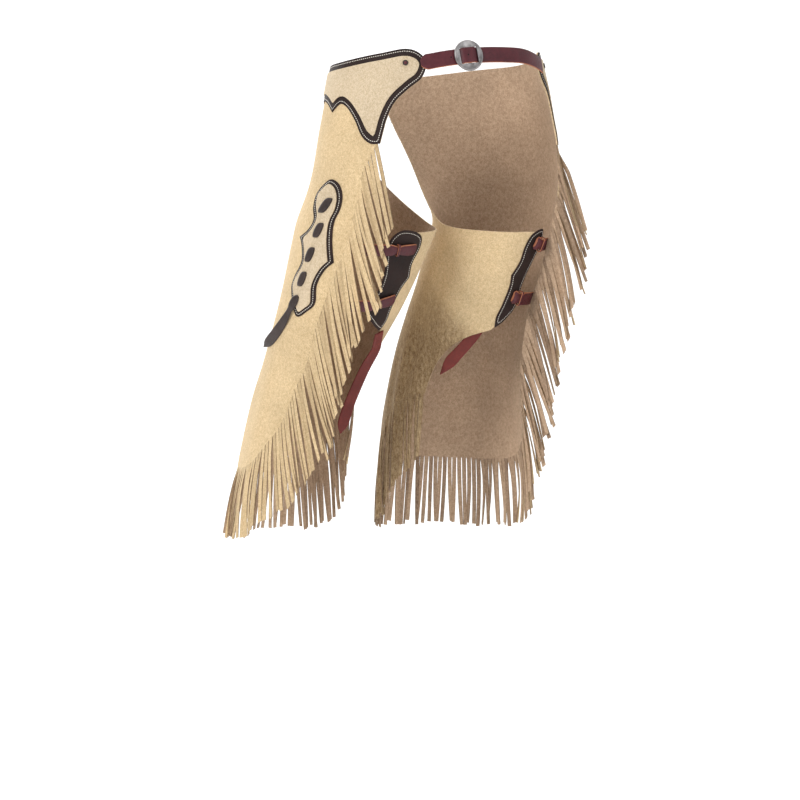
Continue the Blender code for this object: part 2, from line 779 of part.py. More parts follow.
def fringe(name, side, line, cut, hangs):
    """Strands hanging from a narrow strip along a cut edge, one strand to each stretch of the edge."""
    shares, seed = cut
    chance = random.Random(seed)
    frames = edge_frames(side, line)
    points = []
    faces = []

    def add(point):
        points.append(point)
        return len(points) - 1

    stations = []
    for place, out, away in frames:
        near = place + SEAM_GAP * away
        far = place + (SEAM_GAP + FRINGE_BAND - FRINGE_NOTCH) * away
        stations.append((add(near), add(near + SUEDE * out), add(far), add(far + SUEDE * out)))
    cells = len(frames) - 1
    flip = HAND[side] > 0

    def face(*corners):
        faces.append(corners[::-1] if flip else corners)

    for i in range(cells):
        (place_a, out_a, away_a), (place_b, out_b, away_b) = frames[i], frames[i + 1]
        place = 0.5 * (place_a + place_b)
        out = (out_a + out_b).normalized()
        away = (away_a + away_b).normalized()
        along = (place_b - place_a).normalized()
        half = 0.5 * STRAND_FILL * (place_b - place_a).length
        edge = place + (SEAM_GAP + FRINGE_BAND) * away
        ring = [
            add(edge - half * along),
            add(edge + half * along),
            add(edge + half * along + SUEDE * out),
            add(edge - half * along + SUEDE * out),
        ]
        near_a, near_up_a, far_a, far_up_a = stations[i]
        near_b, near_up_b, far_b, far_up_b = stations[i + 1]
        face(near_a, near_b, far_b, ring[1], ring[0], far_a)
        face(near_up_b, near_up_a, far_up_a, ring[3], ring[2], far_up_b)
        face(near_b, near_a, near_up_a, near_up_b)
        face(far_a, ring[0], ring[3], far_up_a)
        face(ring[1], far_b, far_up_b, ring[2])
        steep = abs(along.z) ** 2
        length, lean, lift, hug = through_rows(hangs, (i + 0.5) / cells)
        hang = (
            length * chance.uniform(0.95, 1.04),
            lean * (0.25 + 0.75 * steep),
            LEAST_LIFT + (lift - LEAST_LIFT) * steep,
            hug,
        )
        near = frames[max(i - HANG_SMOOTHING, 0) : i + HANG_SMOOTHING + 2]
        out_near = sum((frame[1] for frame in near), Vector()).normalized()
        away_near = sum((frame[2] for frame in near), Vector()).normalized()
        root = edge + 0.5 * SUEDE * out
        sections = strand_rings(side, root, 2 * half * along, out_near, away_near, hang, shares)
        for section in sections:
            next_ring = [add(point) for point in section]
            for k in range(4):
                n = (k + 1) % 4
                face(ring[k], ring[n], next_ring[n], next_ring[k])
            ring = next_ring
        face(*ring)
    face(*[stations[0][k] for k in (0, 2, 3, 1)])
    face(*[stations[-1][k] for k in (0, 1, 3, 2)])
    return add_piece(name, points, faces, "suede")


def band(name, path, finish):
    """A strap through a path of (centre, across, up, width, thickness), closed at both ends."""
    points = []
    for centre, across, up, width, thickness in path:
        side_step, lift = 0.5 * width * across, 0.5 * thickness * up
        points += [
            centre - side_step - lift,
            centre + side_step - lift,
            centre + side_step + lift,
            centre - side_step + lift,
        ]
    faces = [(0, 1, 2, 3)]
    last = len(points) - 4
    for ring in range(0, last, 4):
        for k in range(4):
            n = (k + 1) % 4
            faces.append((ring + k, ring + 4 + k, ring + 4 + n, ring + n))
    faces.append((last + 3, last + 2, last + 1, last))
    along = path[1][0] - path[0][0]
    if path[0][1].cross(path[0][2]).dot(along) > 0:
        faces = [face[::-1] for face in faces]
    return add_piece(name, points, faces, finish)


def frame_path(centres, ups, widths, thicknesses):
    """Adds to each centre the way across the strap, square to its run and to its outer face."""
    path = []
    for i, centre in enumerate(centres):
        along = (centres[min(i + 1, len(centres) - 1)] - centres[max(i - 1, 0)]).normalized()
        across = ups[i].cross(along).normalized()
        path.append((centre, across, along.cross(across).normalized(), widths[i], thicknesses[i]))
    return path


def leg_band(name, side, rows, finish):
    """A strap lying on one leg, through rows of turn, height, out, width and thickness."""
    centres = [worn_point(side, row[0], row[1], row[2]) for row in rows]
    ups = [outward(side, row[0], row[1]) for row in rows]
    return band(name, frame_path(centres, ups, [row[3] for row in rows], [row[4] for row in rows]), finish)


def make_rivet(side):
    turn, height = RIVET_PLACE
    out = outward(side, turn, height)
    across = out.cross(Vector((0, 0, 1))).normalized()
    up = across.cross(out)
    base = worn_point(side, turn, height, LACE_LEVEL + RIVET_GAP)
    points = []
    for radius, lift in RIVET_RINGS:
        for k in range(RIVET_SIDES):
            a = 2 * math.pi * k / RIVET_SIDES
            points.append(base + radius * math.cos(a) * across + radius * math.sin(a) * up + lift * out)
    faces = [tuple(range(RIVET_SIDES)), tuple(reversed(range(2 * RIVET_SIDES, 3 * RIVET_SIDES)))]
    for ring in (0, RIVET_SIDES):
        for k in range(RIVET_SIDES):
            n = (k + 1) % RIVET_SIDES
            faces.append((ring + k, ring + RIVET_SIDES + k, ring + RIVET_SIDES + n, ring + n))
    add_piece(f"yoke_rivet_{side}", points, faces, "dark_leather")


def closure_path(side, height):
    """The strap comes from behind the back edge, crosses the gap and lies along the plate."""
    middle, half = plate_middle(side, height), PLATE_PLACE[side][1]
    edge = CLOSURE_EDGE_TURN - 360.0
    plate_edge = middle - half
    end = middle - STRAP_END[side] * half
    keeper = middle - KEEPER_ACROSS[side] * half
    on_plate = OVERLAY_LEVEL + 0.5 * STRAP + CLOSURE_LIFT
    over_keeper = on_plate + KEEPER_WALL + KEEPER_LIFT
    behind = folded(side, CLOSURE_EDGE_TURN, height) - 0.5 * STRAP - CLOSURE_BEHIND
    rows = [
        (edge - CLOSURE_TUCK, behind),
        (edge + 1.5, behind),
        (0.5 * (edge + KEEPER_TURN + plate_edge), 0.5 * (behind + over_keeper) + CLOSURE_RISE),
        (plate_edge, over_keeper + CLOSURE_RISE),
        (keeper - KEEPER_TURN, over_keeper + 0.5 * CLOSURE_RISE),
        (keeper, over_keeper),
        (keeper + KEEPER_TURN, over_keeper),
        (0.5 * (keeper + KEEPER_TURN + end), 0.5 * (over_keeper + on_plate) + CLOSURE_RISE),
        (end, on_plate),
    ]
    return rows, keeper, over_keeper


def make_closure(side, which):
    height = CLOSURES[side][which]
    rows, keeper, level = closure_path(side, height)
    full = [(turn, height, out, CLOSURE_WIDTH, STRAP) for turn, out in rows]
    leg_band(f"closure_strap_{which}_{side}", side, full, "burgundy_leather")
    centre = worn_point(side, keeper, height, level)
    up = outward(side, keeper, height)
    along = worn_point(side, keeper + 1, height, level) - worn_point(side, keeper - 1, height, level)
    across = up.cross(along).normalized()
    along = across.cross(up).normalized()
    points = []
    for reach in (-0.5 * KEEPER_WIDTH, 0.5 * KEEPER_WIDTH):
        for wall_out in (0.0, KEEPER_WALL):
            half_width = 0.5 * CLOSURE_WIDTH + KEEPER_GAP + wall_out
            half_height = 0.5 * STRAP + KEEPER_GAP + wall_out
            for a, b in ((-1, -1), (1, -1), (1, 1), (-1, 1)):
                points.append(centre + reach * along + a * half_width * across + b * half_height * up)
    faces = []
    for k in range(4):
        n = (k + 1) % 4
        faces.append((k, n, 4 + n, 4 + k))
        faces.append((8 + n, 8 + k, 12 + k, 12 + n))
        faces.append((4 + k, 4 + n, 12 + n, 12 + k))
        faces.append((n, k, 8 + k, 8 + n))
    if across.cross(up).dot(along) < 0:
        faces = [face[::-1] for face in faces]
    add_piece(f"closure_keeper_{which}_{side}", points, faces, "burgundy_leather")


def make_tail(side):
    rows = TAILS[side]
    centres = [worn_point(side, turn, height, out) for turn, height, out, facing in rows]
    ups = [outward(side, facing, height) for turn, height, out, facing in rows]
    widths = [TAIL_WIDTH] * (len(rows) - 1) + [TAIL_TIP]
    path = frame_path(centres, ups, widths, [STRAP] * len(rows))
    band(f"closure_tail_{side}", path, "burgundy_leather")


def belt_frame(angle):
    height = through_rows(BELT_LINE, angle)[0]
    return height, waist_outward(angle, height)


def belt_centre(angle, out):
    height, _ = belt_frame(angle)
    return waist_point(angle, height, out)


def belt_band(name, rows, finish):
    """A strap along the belt line through rows of angle and out."""
    centres = [belt_centre(angle, out) for angle, out in rows]
    ups = [belt_frame(angle)[1] for angle, out in rows]
    count = len(rows)
    return band(name, frame_path(centres, ups, [BELT_WIDTH] * count, [STRAP] * count), finish)


def make_belt():
    level = BELT_LEVEL + 0.5 * STRAP
    start = BELT_ENDS[0]
    buckle_side = BUCKLE_ANGLE - BELT_TO_BUCKLE / BELT_PER_DEGREE
    pieces = BELT_PIECES["left"]
    left = [(start + (buckle_side - start) * k / pieces, level) for k in range(pieces + 1)]
    belt_band("belt_left", left, "burgundy_leather")
    right = [(BUCKLE_ANGLE + reach / BELT_PER_DEGREE, out) for reach, out in STRAP_OVER_BAR]
    start = right[-1][0]
    pieces = BELT_PIECES["right"]
    right += [(start + (BELT_ENDS[1] - start) * k / pieces, level) for k in range(1, pieces + 1)]
    belt_band("belt_right", right, "burgundy_leather")


def make_buckle():
    height, out = belt_frame(BUCKLE_ANGLE)
    centre = waist_point(BUCKLE_ANGLE, height, BUCKLE_LEVEL)
    along = (belt_centre(BUCKLE_ANGLE + 4, 0) - belt_centre(BUCKLE_ANGLE - 4, 0)).normalized()
    up = out.cross(along).normalized()
    turns = [2 * math.pi * k / BUCKLE_SIDES for k in range(BUCKLE_SIDES)]
    circle = [Vector((math.cos(turn), math.sin(turn))) for turn in turns]
    loops = [[BUCKLE_RADIUS * p for p in circle], [BUCKLE_RIM * p for p in circle[::2]]]
    slots = []
    for low, high in ((-WINDOW_HALF_WIDTH, -BAR_HALF_WIDTH), (BAR_HALF_WIDTH, WINDOW_HALF_WIDTH)):
        slots.append(
            [
                Vector((low, -WINDOW_HALF_HEIGHT)),
                Vector((high, -WINDOW_HALF_HEIGHT)),
                Vector((high, WINDOW_HALF_HEIGHT)),
                Vector((low, WINDOW_HALF_HEIGHT)),
            ]
        )
    corners = []
    edges = []
    for loop in loops + slots:
        first = len(corners)
        corners += loop
        edges += [(first + k, first + (k + 1) % len(loop)) for k in range(len(loop))]
    net = delaunay_2d_cdt(corners, edges, [], 0, 1e-7, False)
    corners, triangles = net[0], net[2]
    chosen = []
    for t in triangles:
        middle = (corners[t[0]] + corners[t[1]] + corners[t[2]]) / 3
        if inside(middle, loops[0]) and not any(inside(middle, slot) for slot in slots):
            chosen.append(t if counter_clockwise(corners, t) else (t[0], t[2], t[1]))
    upper = len(corners)
    points = []
    for top in (False, True):
        for corner in corners:
            share = corner.length / BUCKLE_RADIUS
            lift = BUCKLE_DOME * (1 - share * share)
            on_bar = abs(corner.x) < BAR_HALF_WIDTH + 1e-6
            wall_here = BUCKLE_BAR_WALL if on_bar else BUCKLE_WALL
            if share > 0.99:
                wall_here = 0.6 * BUCKLE_WALL
            if top:
                lift += wall_here
            points.append(centre + corner.x * along + corner.y * up + lift * out)
    faces = []
    sides_seen = set()
    for a, b, c in chosen:
        faces += [(upper + a, upper + b, upper + c), (a, c, b)]
        sides_seen |= {(a, b), (b, c), (c, a)}
    for a, b in sorted(sides_seen):
        if (b, a) not in sides_seen:
            faces.append((a, b, upper + b, upper + a))
    if along.cross(up).dot(out) < 0:
        faces = [face[::-1] for face in faces]
    add_piece("buckle", points, faces, "brushed_steel")


def make_front_tie():
    centres = [waist_point(angle, FRONT_TIE_HEIGHT, out) for angle, out, width, thickness in FRONT_TIE]
    ups = [waist_outward(row[0], FRONT_TIE_HEIGHT) for row in FRONT_TIE]
    path = frame_path(centres, ups, [row[2] for row in FRONT_TIE], [row[3] for row in FRONT_TIE])
    band("front_tie", path, "burgundy_leather")


clear_scene()
make_finishes()
for leg in ("left", "right"):
    back_line, hem_line = make_flat_pieces(leg)
    fringe(f"fringe_back_{leg}", leg, back_line, BACK_CUT[leg], BACK_HANG[leg])
    fringe(f"fringe_hem_{leg}", leg, hem_line, HEM_CUT[leg], HEM_HANG[leg])
    leg_band(f"badge_lace_tail_{leg}", leg, LACE_TAIL, "dark_leather")
    make_rivet(leg)
    for which_strap in CLOSURES[leg]:
        make_closure(leg, which_strap)
    make_tail(leg)
make_belt()
make_buckle()
make_front_tie()
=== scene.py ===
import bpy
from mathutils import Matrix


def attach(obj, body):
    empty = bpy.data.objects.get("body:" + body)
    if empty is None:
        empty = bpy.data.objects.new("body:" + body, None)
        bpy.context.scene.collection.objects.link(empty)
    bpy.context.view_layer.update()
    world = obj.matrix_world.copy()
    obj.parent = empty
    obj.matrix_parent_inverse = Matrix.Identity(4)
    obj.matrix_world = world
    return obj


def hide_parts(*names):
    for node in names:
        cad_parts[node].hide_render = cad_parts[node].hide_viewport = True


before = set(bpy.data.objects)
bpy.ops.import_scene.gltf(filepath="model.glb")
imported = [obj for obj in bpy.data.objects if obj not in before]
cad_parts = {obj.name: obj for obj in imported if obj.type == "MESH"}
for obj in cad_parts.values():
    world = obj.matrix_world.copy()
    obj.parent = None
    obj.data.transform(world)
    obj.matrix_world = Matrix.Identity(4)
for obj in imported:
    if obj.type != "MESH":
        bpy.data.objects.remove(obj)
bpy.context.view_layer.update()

import math
import random

import bpy
import numpy as np
from mathutils import Vector
from mathutils.geometry import delaunay_2d_cdt

# Fringed leather chaps in their worn shape: the front faces -Y and the left leg is at +X, in metres and degrees.
# A leg is cut flat (turn round the leg, height), then laid on a hollow worn form, as the solids are.
hands = {"left": 1.0, "right": -1.0}
suede = 0.0018  # thickness of the leg panels
trimLeather = 0.0014
strapLeather = 0.0022
seamGap = 0.0003
levels = {  # height of each layer above the inner face of the panel
    "trim": suede + seamGap,
    "overlay": suede + trimLeather + 2 * seamGap,
    "lace": suede + 2 * trimLeather + 3 * seamGap,
}
clothPerDegree = 0.00155  # flat width of one degree of turn
sharpTurn = math.radians(38)

wornForm = {
    "hipTurn": {"left": 10.0, "right": -10.0},
    "hipStart": 38.0,
    "hipPerTurn": 0.59,
    "hipToLeg": (-0.085, -0.235),
    "flare": 0.012,
    # height, centre y, half width, half depth
    "torso": (
        (0.040, 0.000, 0.138, 0.104),
        (0.000, 0.000, 0.147, 0.111),
        (-0.060, 0.002, 0.160, 0.122),
        (-0.120, 0.004, 0.172, 0.132),
        (-0.180, 0.006, 0.178, 0.134),
        (-0.240, 0.008, 0.180, 0.132),
    ),
    # height, centre away from the middle, centre y, half width, half depth
    "left": (
        (-0.100, 0.085, 0.002, 0.092, 0.110),
        (-0.180, 0.093, 0.000, 0.095, 0.105),
        (-0.240, 0.101, -0.020, 0.095, 0.098),
        (-0.338, 0.121, -0.050, 0.084, 0.088),
        (-0.448, 0.147, -0.096, 0.067, 0.078),
        (-0.531, 0.159, -0.120, 0.065, 0.076),
        (-0.614, 0.163, -0.136, 0.071, 0.078),
        (-0.690, 0.166, -0.142, 0.075, 0.080),
    ),
    "right": (
        (-0.100, 0.085, 0.002, 0.086, 0.108),
        (-0.180, 0.093, -0.002, 0.081, 0.098),
        (-0.235, 0.094, -0.014, 0.078, 0.086),
        (-0.312, 0.086, -0.046, 0.079, 0.083),
        (-0.359, 0.079, -0.064, 0.080, 0.084),
        (-0.414, 0.074, -0.078, 0.085, 0.088),
        (-0.465, 0.071, -0.086, 0.089, 0.091),
        (-0.537, 0.070, -0.090, 0.095, 0.094),
        (-0.614, 0.070, -0.091, 0.099, 0.096),
        (-0.690, 0.070, -0.091, 0.100, 0.096),
    ),
}
folds = {  # turn, half width in degrees, height of the middle, half length, depth: large ones, then creases
    "left": (
        (18, 13, -0.470, 0.150, -0.0050),
        (-22, 12, -0.430, 0.170, -0.0045),
        (48, 12, -0.520, 0.110, 0.0040),
        (-62, 12, -0.400, 0.130, -0.0040),
        (-105, 14, -0.330, 0.100, -0.0030),
        (112, 12, -0.470, 0.100, -0.0035),
        (-82, 5.0, -0.455, 0.070, -0.0014),
        (-95, 5.0, -0.440, 0.085, 0.0012),
        (-107, 4.5, -0.430, 0.060, -0.0015),
        (34, 6.0, -0.395, 0.095, -0.0012),
        (-38, 6.5, -0.350, 0.105, -0.0013),
    ),
    "right": (
        (20, 13, -0.460, 0.160, -0.0050),
        (-20, 12, -0.450, 0.150, -0.0045),
        (52, 12, -0.510, 0.120, 0.0040),
        (-58, 12, -0.390, 0.130, -0.0040),
        (-112, 13, -0.360, 0.110, -0.0045),
        (-152, 16, -0.300, 0.070, -0.0030),
        (110, 12, -0.460, 0.110, -0.0035),
        (-86, 5.0, -0.460, 0.070, -0.0017),
        (-96, 5.0, -0.445, 0.095, 0.0015),
        (-106, 4.5, -0.455, 0.075, -0.0019),
        (-116, 4.5, -0.425, 0.070, 0.0015),
        (-125, 4.5, -0.415, 0.060, -0.0016),
        (-142, 6.0, -0.335, 0.055, 0.0012),
        (36, 6.0, -0.405, 0.085, -0.0012),
        (-34, 6.5, -0.345, 0.110, -0.0013),
    ),
}


def unit(vectors):
    return vectors / np.linalg.norm(vectors, axis=-1, keepdims=True)


def ease(share):
    share = np.clip(share, 0.0, 1.0)
    return share * share * (3 - 2 * share)


def throughRows(rows, position):  # a smooth curve through the rows' other columns, at these first values
    table = np.array(sorted(rows), float)
    at = np.clip(position, table[0, 0], table[-1, 0])
    i = np.clip(np.searchsorted(table[:, 0], at, side="right") - 1, 0, len(table) - 2)
    before, start, end, after = (table[np.clip(i + k, 0, len(table) - 1)] for k in (-1, 0, 1, 2))
    step = end[..., :1] - start[..., :1]
    t = (np.asarray(at)[..., None] - start[..., :1]) / step
    leaving = (end - before) / (end[..., :1] - before[..., :1]) * step
    arriving = (after - start) / (after[..., :1] - start[..., :1]) * step
    curve = (
        (2 * t**3 - 3 * t**2 + 1) * start
        + (t**3 - 2 * t**2 + t) * leaving
        + (3 * t**2 - 2 * t**3) * end
        + (t**3 - t**2) * arriving
    )
    return np.moveaxis(curve[..., 1:], -1, 0)


def waistBase(angle, height):
    centreY, halfWidth, halfDepth = throughRows(wornForm["torso"], height)
    a = np.radians(angle)
    return np.stack([halfWidth * np.sin(a), centreY - halfDepth * np.cos(a), height + 0 * a], -1)


def waistOutward(angle, height):
    across = waistBase(angle + 1.0, height) - waistBase(angle - 1.0, height)
    up = waistBase(angle, height + 0.004) - waistBase(angle, height - 0.004)
    return unit(np.cross(across, up))


def waistPoint(angle, height, out):
    return waistBase(angle, height) + np.asarray(out)[..., None] * waistOutward(angle, height)


def foldDepth(side, turn, height):
    depth = wornForm["flare"] * ease((turn - 75) / 60) * ease((-0.14 - height) / 0.18)
    for foldTurn, halfWidth, middle, halfLength, foldOut in folds[side]:
        across = (turn - foldTurn) / halfWidth
        along = (height - middle) / halfLength
        depth = depth + foldOut * np.exp(-across * across) * ease(1.5 - 1.5 * np.abs(along))
    return depth


def legBase(side, turn, height):  # inner face of the worn panel
    hip = waistBase(wornForm["hipStart"] + wornForm["hipPerTurn"] * turn + wornForm["hipTurn"][side], height)
    centreX, centreY, halfWidth, halfDepth = throughRows(wornForm[side], height)
    a = np.radians(turn)
    fold = foldDepth(side, turn, height)
    leg = np.stack(
        [centreX + (halfWidth + fold) * np.sin(a), centreY - (halfDepth + fold) * np.cos(a), height + 0 * a], -1
    )
    start, end = wornForm["hipToLeg"]
    point = hip + (leg - hip) * ease((start - height) / (start - end))[..., None]
    return point * np.array([hands[side], 1.0, 1.0])


def legOutward(side, turn, height):
    across = legBase(side, turn + 1.5, height) - legBase(side, turn - 1.5, height)
    up = legBase(side, turn, height + 0.004) - legBase(side, turn, height - 0.004)
    return hands[side] * unit(np.cross(across, up))


def legPoint(side, turn, height, out=0.0):
    turn, height = np.asarray(turn, float), np.asarray(height, float)
    return legBase(side, turn, height) + np.asarray(out)[..., None] * legOutward(side, turn, height)


def onLeg(side, flatPoints, out=0.0):  # flat cut to worn place
    return legPoint(side, flatPoints[:, 0] / clothPerDegree, flatPoints[:, 1], out)


# Cut lines of a leg: turn, height, 1 at a sharp corner.
cut = {
    "yoke": (
        (-48, -0.094, 1), (-55, -0.070, 0), (-61, -0.046, 0), (-52, -0.034, 0), (-15, -0.027, 0),
        (30, -0.019, 0), (80, -0.013, 0), (128, -0.003, 0), (154, 0.003, 0), (168, -0.003, 0),
        (174, -0.017, 0), (170, -0.036, 0), (159, -0.050, 0), (147, -0.068, 0), (140.5, -0.090, 0),
        (138.5, -0.108, 0), (137.5, -0.124, 1),
    ),
    "back": (
        (137.5, -0.124, 1), (133.5, -0.141, 0), (131, -0.166, 0), (138, -0.208, 0), (142, -0.255, 0),
        (139.5, -0.312, 0), (138.5, -0.375, 0), (142, -0.425, 0), (139, -0.454, 0), (137, -0.478, 0),
        (135, -0.500, 0), (130, -0.520, 0), (121, -0.537, 0), (107, -0.562, 0), (89, -0.5735, 1),
    ),
    "hem": (
        (89, -0.5735, 1), (60, -0.5765, 0), (20, -0.5745, 0), (-25, -0.566, 0), (-54, -0.548, 0),
        (-76, -0.520, 0), (-94, -0.492, 0), (-110, -0.477, 0), (-126, -0.473, 1),
    ),
    "inner": (
        (-126, -0.473, 1), (-129, -0.450, 0), (-134, -0.425, 0), (-144, -0.4025, 0), (-158, -0.3890, 0),
        (-172, -0.3825, 0),
    ),
    "wrapTop": (
        (-189, -0.2435, 0), (-166, -0.2435, 0), (-134, -0.2410, 0), (-106, -0.2370, 0), (-84, -0.2290, 0),
        (-64, -0.2110, 0), (-50, -0.1860, 0), (-42, -0.1550, 0), (-42, -0.1240, 0), (-48, -0.0940, 1),
    ),
    "scallop": (
        (137.5, -0.124, 1), (129, -0.1240, 0), (119, -0.1135, 0), (108.5, -0.092, 0), (97, -0.0755, 0),
        (86, -0.0705, 0), (74.5, -0.0815, 1), (60, -0.0700, 0), (40, -0.0660, 0), (16, -0.0720, 0),
        (-8, -0.0870, 0), (-28, -0.0970, 0), (-48, -0.0940, 1),
    ),
    "badge": (
        (90, -0.190, 0), (99, -0.1725, 0), (110, -0.1765, 0), (119, -0.191, 0), (124, -0.210, 0),
        (124.5, -0.228, 0), (128, -0.253, 0), (134.5, -0.283, 1), (129, -0.294, 0), (126, -0.314, 0),
        (129, -0.338, 0), (124, -0.3495, 0), (115, -0.357, 0), (103.5, -0.337, 0), (95.5, -0.316, 1),
        (98, -0.301, 0), (103, -0.283, 0), (97, -0.261, 0), (90, -0.2495, 1), (100, -0.240, 0),
        (103, -0.226, 0), (94, -0.208, 0),
    ),
    # across the plate from the inner side (-1) to the open side (1), height, sharp
    "plate": (
        (0.60, -0.2395, 0), (-0.05, -0.2400, 0), (-0.75, -0.2480, 0), (-0.96, -0.2640, 0),
        (-0.82, -0.2840, 0), (-1.10, -0.3030, 1), (-0.78, -0.3200, 0), (-0.72, -0.3450, 0),
        (-0.86, -0.3620, 0), (-0.70, -0.3765, 1), (-0.05, -0.3690, 0), (0.85, -0.3530, 1),
        (0.98, -0.3400, 0), (0.68, -0.3220, 0), (0.70, -0.3000, 0), (0.90, -0.2800, 0),
        (1.08, -0.2620, 1), (0.96, -0.2480, 0),
    ),
    "platePlace": {"left": (-169.0, 17.5), "right": (-197.0, 11.5)},  # middle turn, half width
    "plateSlant": {"left": 0.0, "right": 12.0},  # turn from the top of the plate to its foot
    "plateHeights": (-0.240, -0.377),
    "panelEnd": 0.35,
    "innerShift": {"left": 13.0, "right": 0.0},
    "backStrands": 62,
    "hemStrands": 58,
    "uncut": 0.0037,  # uncut strip between the panel's edge and the fringe
}


def splinePoint(before, start, end, after, t):
    return 0.5 * (
        2 * start
        + t * (end - before)
        + t * t * (2 * before - 5 * start + 4 * end - after)
        + t**3 * (3 * start - before - 3 * end + after)
    )


def traced(rows, step, closed=False):  # a smooth flat line that turns sharply only at flagged rows
    points = [np.array([row[0] * clothPerDegree, row[1]]) for row in rows]
    sharp = [bool(row[2]) for row in rows]
    count = len(points)
    dense = []
    for i in range(count if closed else count - 1):
        start, end = points[i], points[(i + 1) % count]
        before = points[i - 1] if not sharp[i] and (closed or i > 0) else start
        goesOn = not sharp[(i + 1) % count] and (closed or i + 2 < count)
        after = points[(i + 2) % count] if goesOn else end
        pieces = max(1, round(float(np.linalg.norm(end - start)) / step))
        dense += [splinePoint(before, start, end, after, k / pieces) for k in range(pieces)]
    return np.array(dense if closed else dense + [points[-1]])


def evenLine(line, pieces):
    lengths = np.concatenate([[0.0], np.cumsum(np.linalg.norm(np.diff(line, axis=0), axis=1))])
    wanted = np.linspace(0.0, lengths[-1], pieces + 1)
    return np.stack([np.interp(wanted, lengths, line[:, k]) for k in range(line.shape[1])], 1)


def insideLoop(points, loop):
    start, end = loop, np.roll(loop, -1, axis=0)
    x, y = points[:, :1], points[:, 1:2]
    rises = (start[:, 1] > y) != (end[:, 1] > y)
    drop = np.where(end[:, 1] == start[:, 1], 1.0, end[:, 1] - start[:, 1])
    crosses = x < start[:, 0] + (y - start[:, 1]) / drop * (end[:, 0] - start[:, 0])
    return (rises & crosses).sum(1) % 2 == 1


def toLoop(points, loop):  # distance of each point to the loop
    start, along = loop, np.roll(loop, -1, axis=0) - loop
    offset = points[:, None] - start
    share = np.clip((offset * along).sum(-1) / np.maximum((along * along).sum(-1), 1e-12), 0, 1)
    return np.linalg.norm(offset - share[..., None] * along, axis=-1).min(1)


def insetLoop(loop, margin, least):  # the loop moved inwards, without points that crowd or cross
    along = np.roll(loop, -1, axis=0) - np.roll(loop, 1, axis=0)
    along /= np.linalg.norm(along, axis=1, keepdims=True)
    across = np.stack([-along[:, 1], along[:, 0]], 1)
    moved = loop + margin * across
    if insideLoop(moved, loop).mean() < 0.5:
        moved = loop - margin * across
    kept = moved[insideLoop(moved, loop) & (toLoop(moved, loop) > 0.96 * margin)]
    found = [kept[0]]
    for place in kept[1:]:
        if np.linalg.norm(place - found[-1]) > least:
            found.append(place)
    if np.linalg.norm(found[0] - found[-1]) < least:
        found.pop()
    return np.array(found)


def flatNet(loop, spacing, rings=()):  # triangles inside a flat loop, with rings along its edge
    lines = [loop] + [insetLoop(loop, ring, 0.6 * spacing) for ring in rings]
    corners = [Vector(point) for line in lines for point in line]
    edges = []
    first = 0
    for line in lines:
        edges += [(first + k, first + (k + 1) % len(line)) for k in range(len(line))]
        first += len(line)
    low, high = loop.min(0), loop.max(0)
    rows = np.arange(low[1], high[1], spacing * math.sqrt(0.75))
    columns = np.arange(low[0], high[0] + spacing, spacing)
    grid = np.array([(x + 0.5 * spacing * (k % 2), y) for k, y in enumerate(rows) for x in columns])
    grid = grid[insideLoop(grid, loop)]
    innermost = max(rings, default=0.0) + 0.55 * spacing
    grid = grid[toLoop(grid, loop) > innermost]
    corners += [Vector(point) for point in grid]
    net = delaunay_2d_cdt(corners, edges, [], 0, 1e-7, False)
    points = np.array([tuple(point) for point in net[0]])
    triangles = np.array(net[2])
    a, b, c = (points[triangles[:, k]] for k in range(3))
    turned = (b[:, 0] - a[:, 0]) * (c[:, 1] - a[:, 1]) - (b[:, 1] - a[:, 1]) * (c[:, 0] - a[:, 0])
    triangles[turned < 0] = triangles[turned < 0][:, ::-1]
    return points, triangles[insideLoop((a + b + c) / 3, loop) & (np.abs(turned) > 1e-12)]


def plateMiddle(side, height):
    top, foot = cut["plateHeights"]
    return cut["platePlace"][side][0] + cut["plateSlant"][side] * ((top - height) / (top - foot) - 0.5)


def legLoops(side):
    back = evenLine(traced(cut["back"], 0.002), cut["backStrands"])
    hemRows = []
    for turn, height, sharp in cut["hem"]:
        hemRows.append((turn + cut["innerShift"][side] * ease((-60 - turn) / 60), height, sharp))
    hem = evenLine(traced(hemRows, 0.002), cut["hemStrands"])
    half = cut["platePlace"][side][1]
    pastFoot = plateMiddle(side, -0.3795) + 0.95 * half
    inner = [(turn + cut["innerShift"][side], height, sharp) for turn, height, sharp in cut["inner"]]
    inner = [row for row in inner if row[0] > pastFoot + 4]
    inner += [(pastFoot, -0.3795, 0), (plateMiddle(side, -0.3710) + 0.50 * half, -0.3710, 0)]
    inner.append((plateMiddle(side, -0.3580) - cut["panelEnd"] * half, -0.3580, 1))
    topMiddle = plateMiddle(side, -0.2440)
    top = [(topMiddle - cut["panelEnd"] * half, -0.2440, 1)]
    top += [row for row in cut["wrapTop"] if row[0] > topMiddle + 4]
    yoke = traced(cut["yoke"], 0.004)
    edge = np.concatenate([back[:-1], hem])  # the strip below this line is cut into strands
    along = np.gradient(edge, axis=0)
    away = np.stack([-along[:, 1], along[:, 0]], 1)
    away /= -np.linalg.norm(away, axis=1, keepdims=True)
    roots = edge + cut["uncut"] * away
    plate = [(plateMiddle(side, height) - across * half, height, sharp) for across, height, sharp in cut["plate"]]
    return {
        "panel": np.concatenate([yoke, roots, traced(inner, 0.006)[1:], traced(top, 0.006)[:-1]]),
        "trim": np.concatenate([yoke[:-1], traced(cut["scallop"], 0.004)[:-1]]),
        "badge": traced(cut["badge"], 0.003, closed=True),
        "plate": traced(plate, 0.003, closed=True),
        "back": roots[: len(back)],
        "hem": roots[len(back) - 1 :],
    }


print("form and cut lines ready")


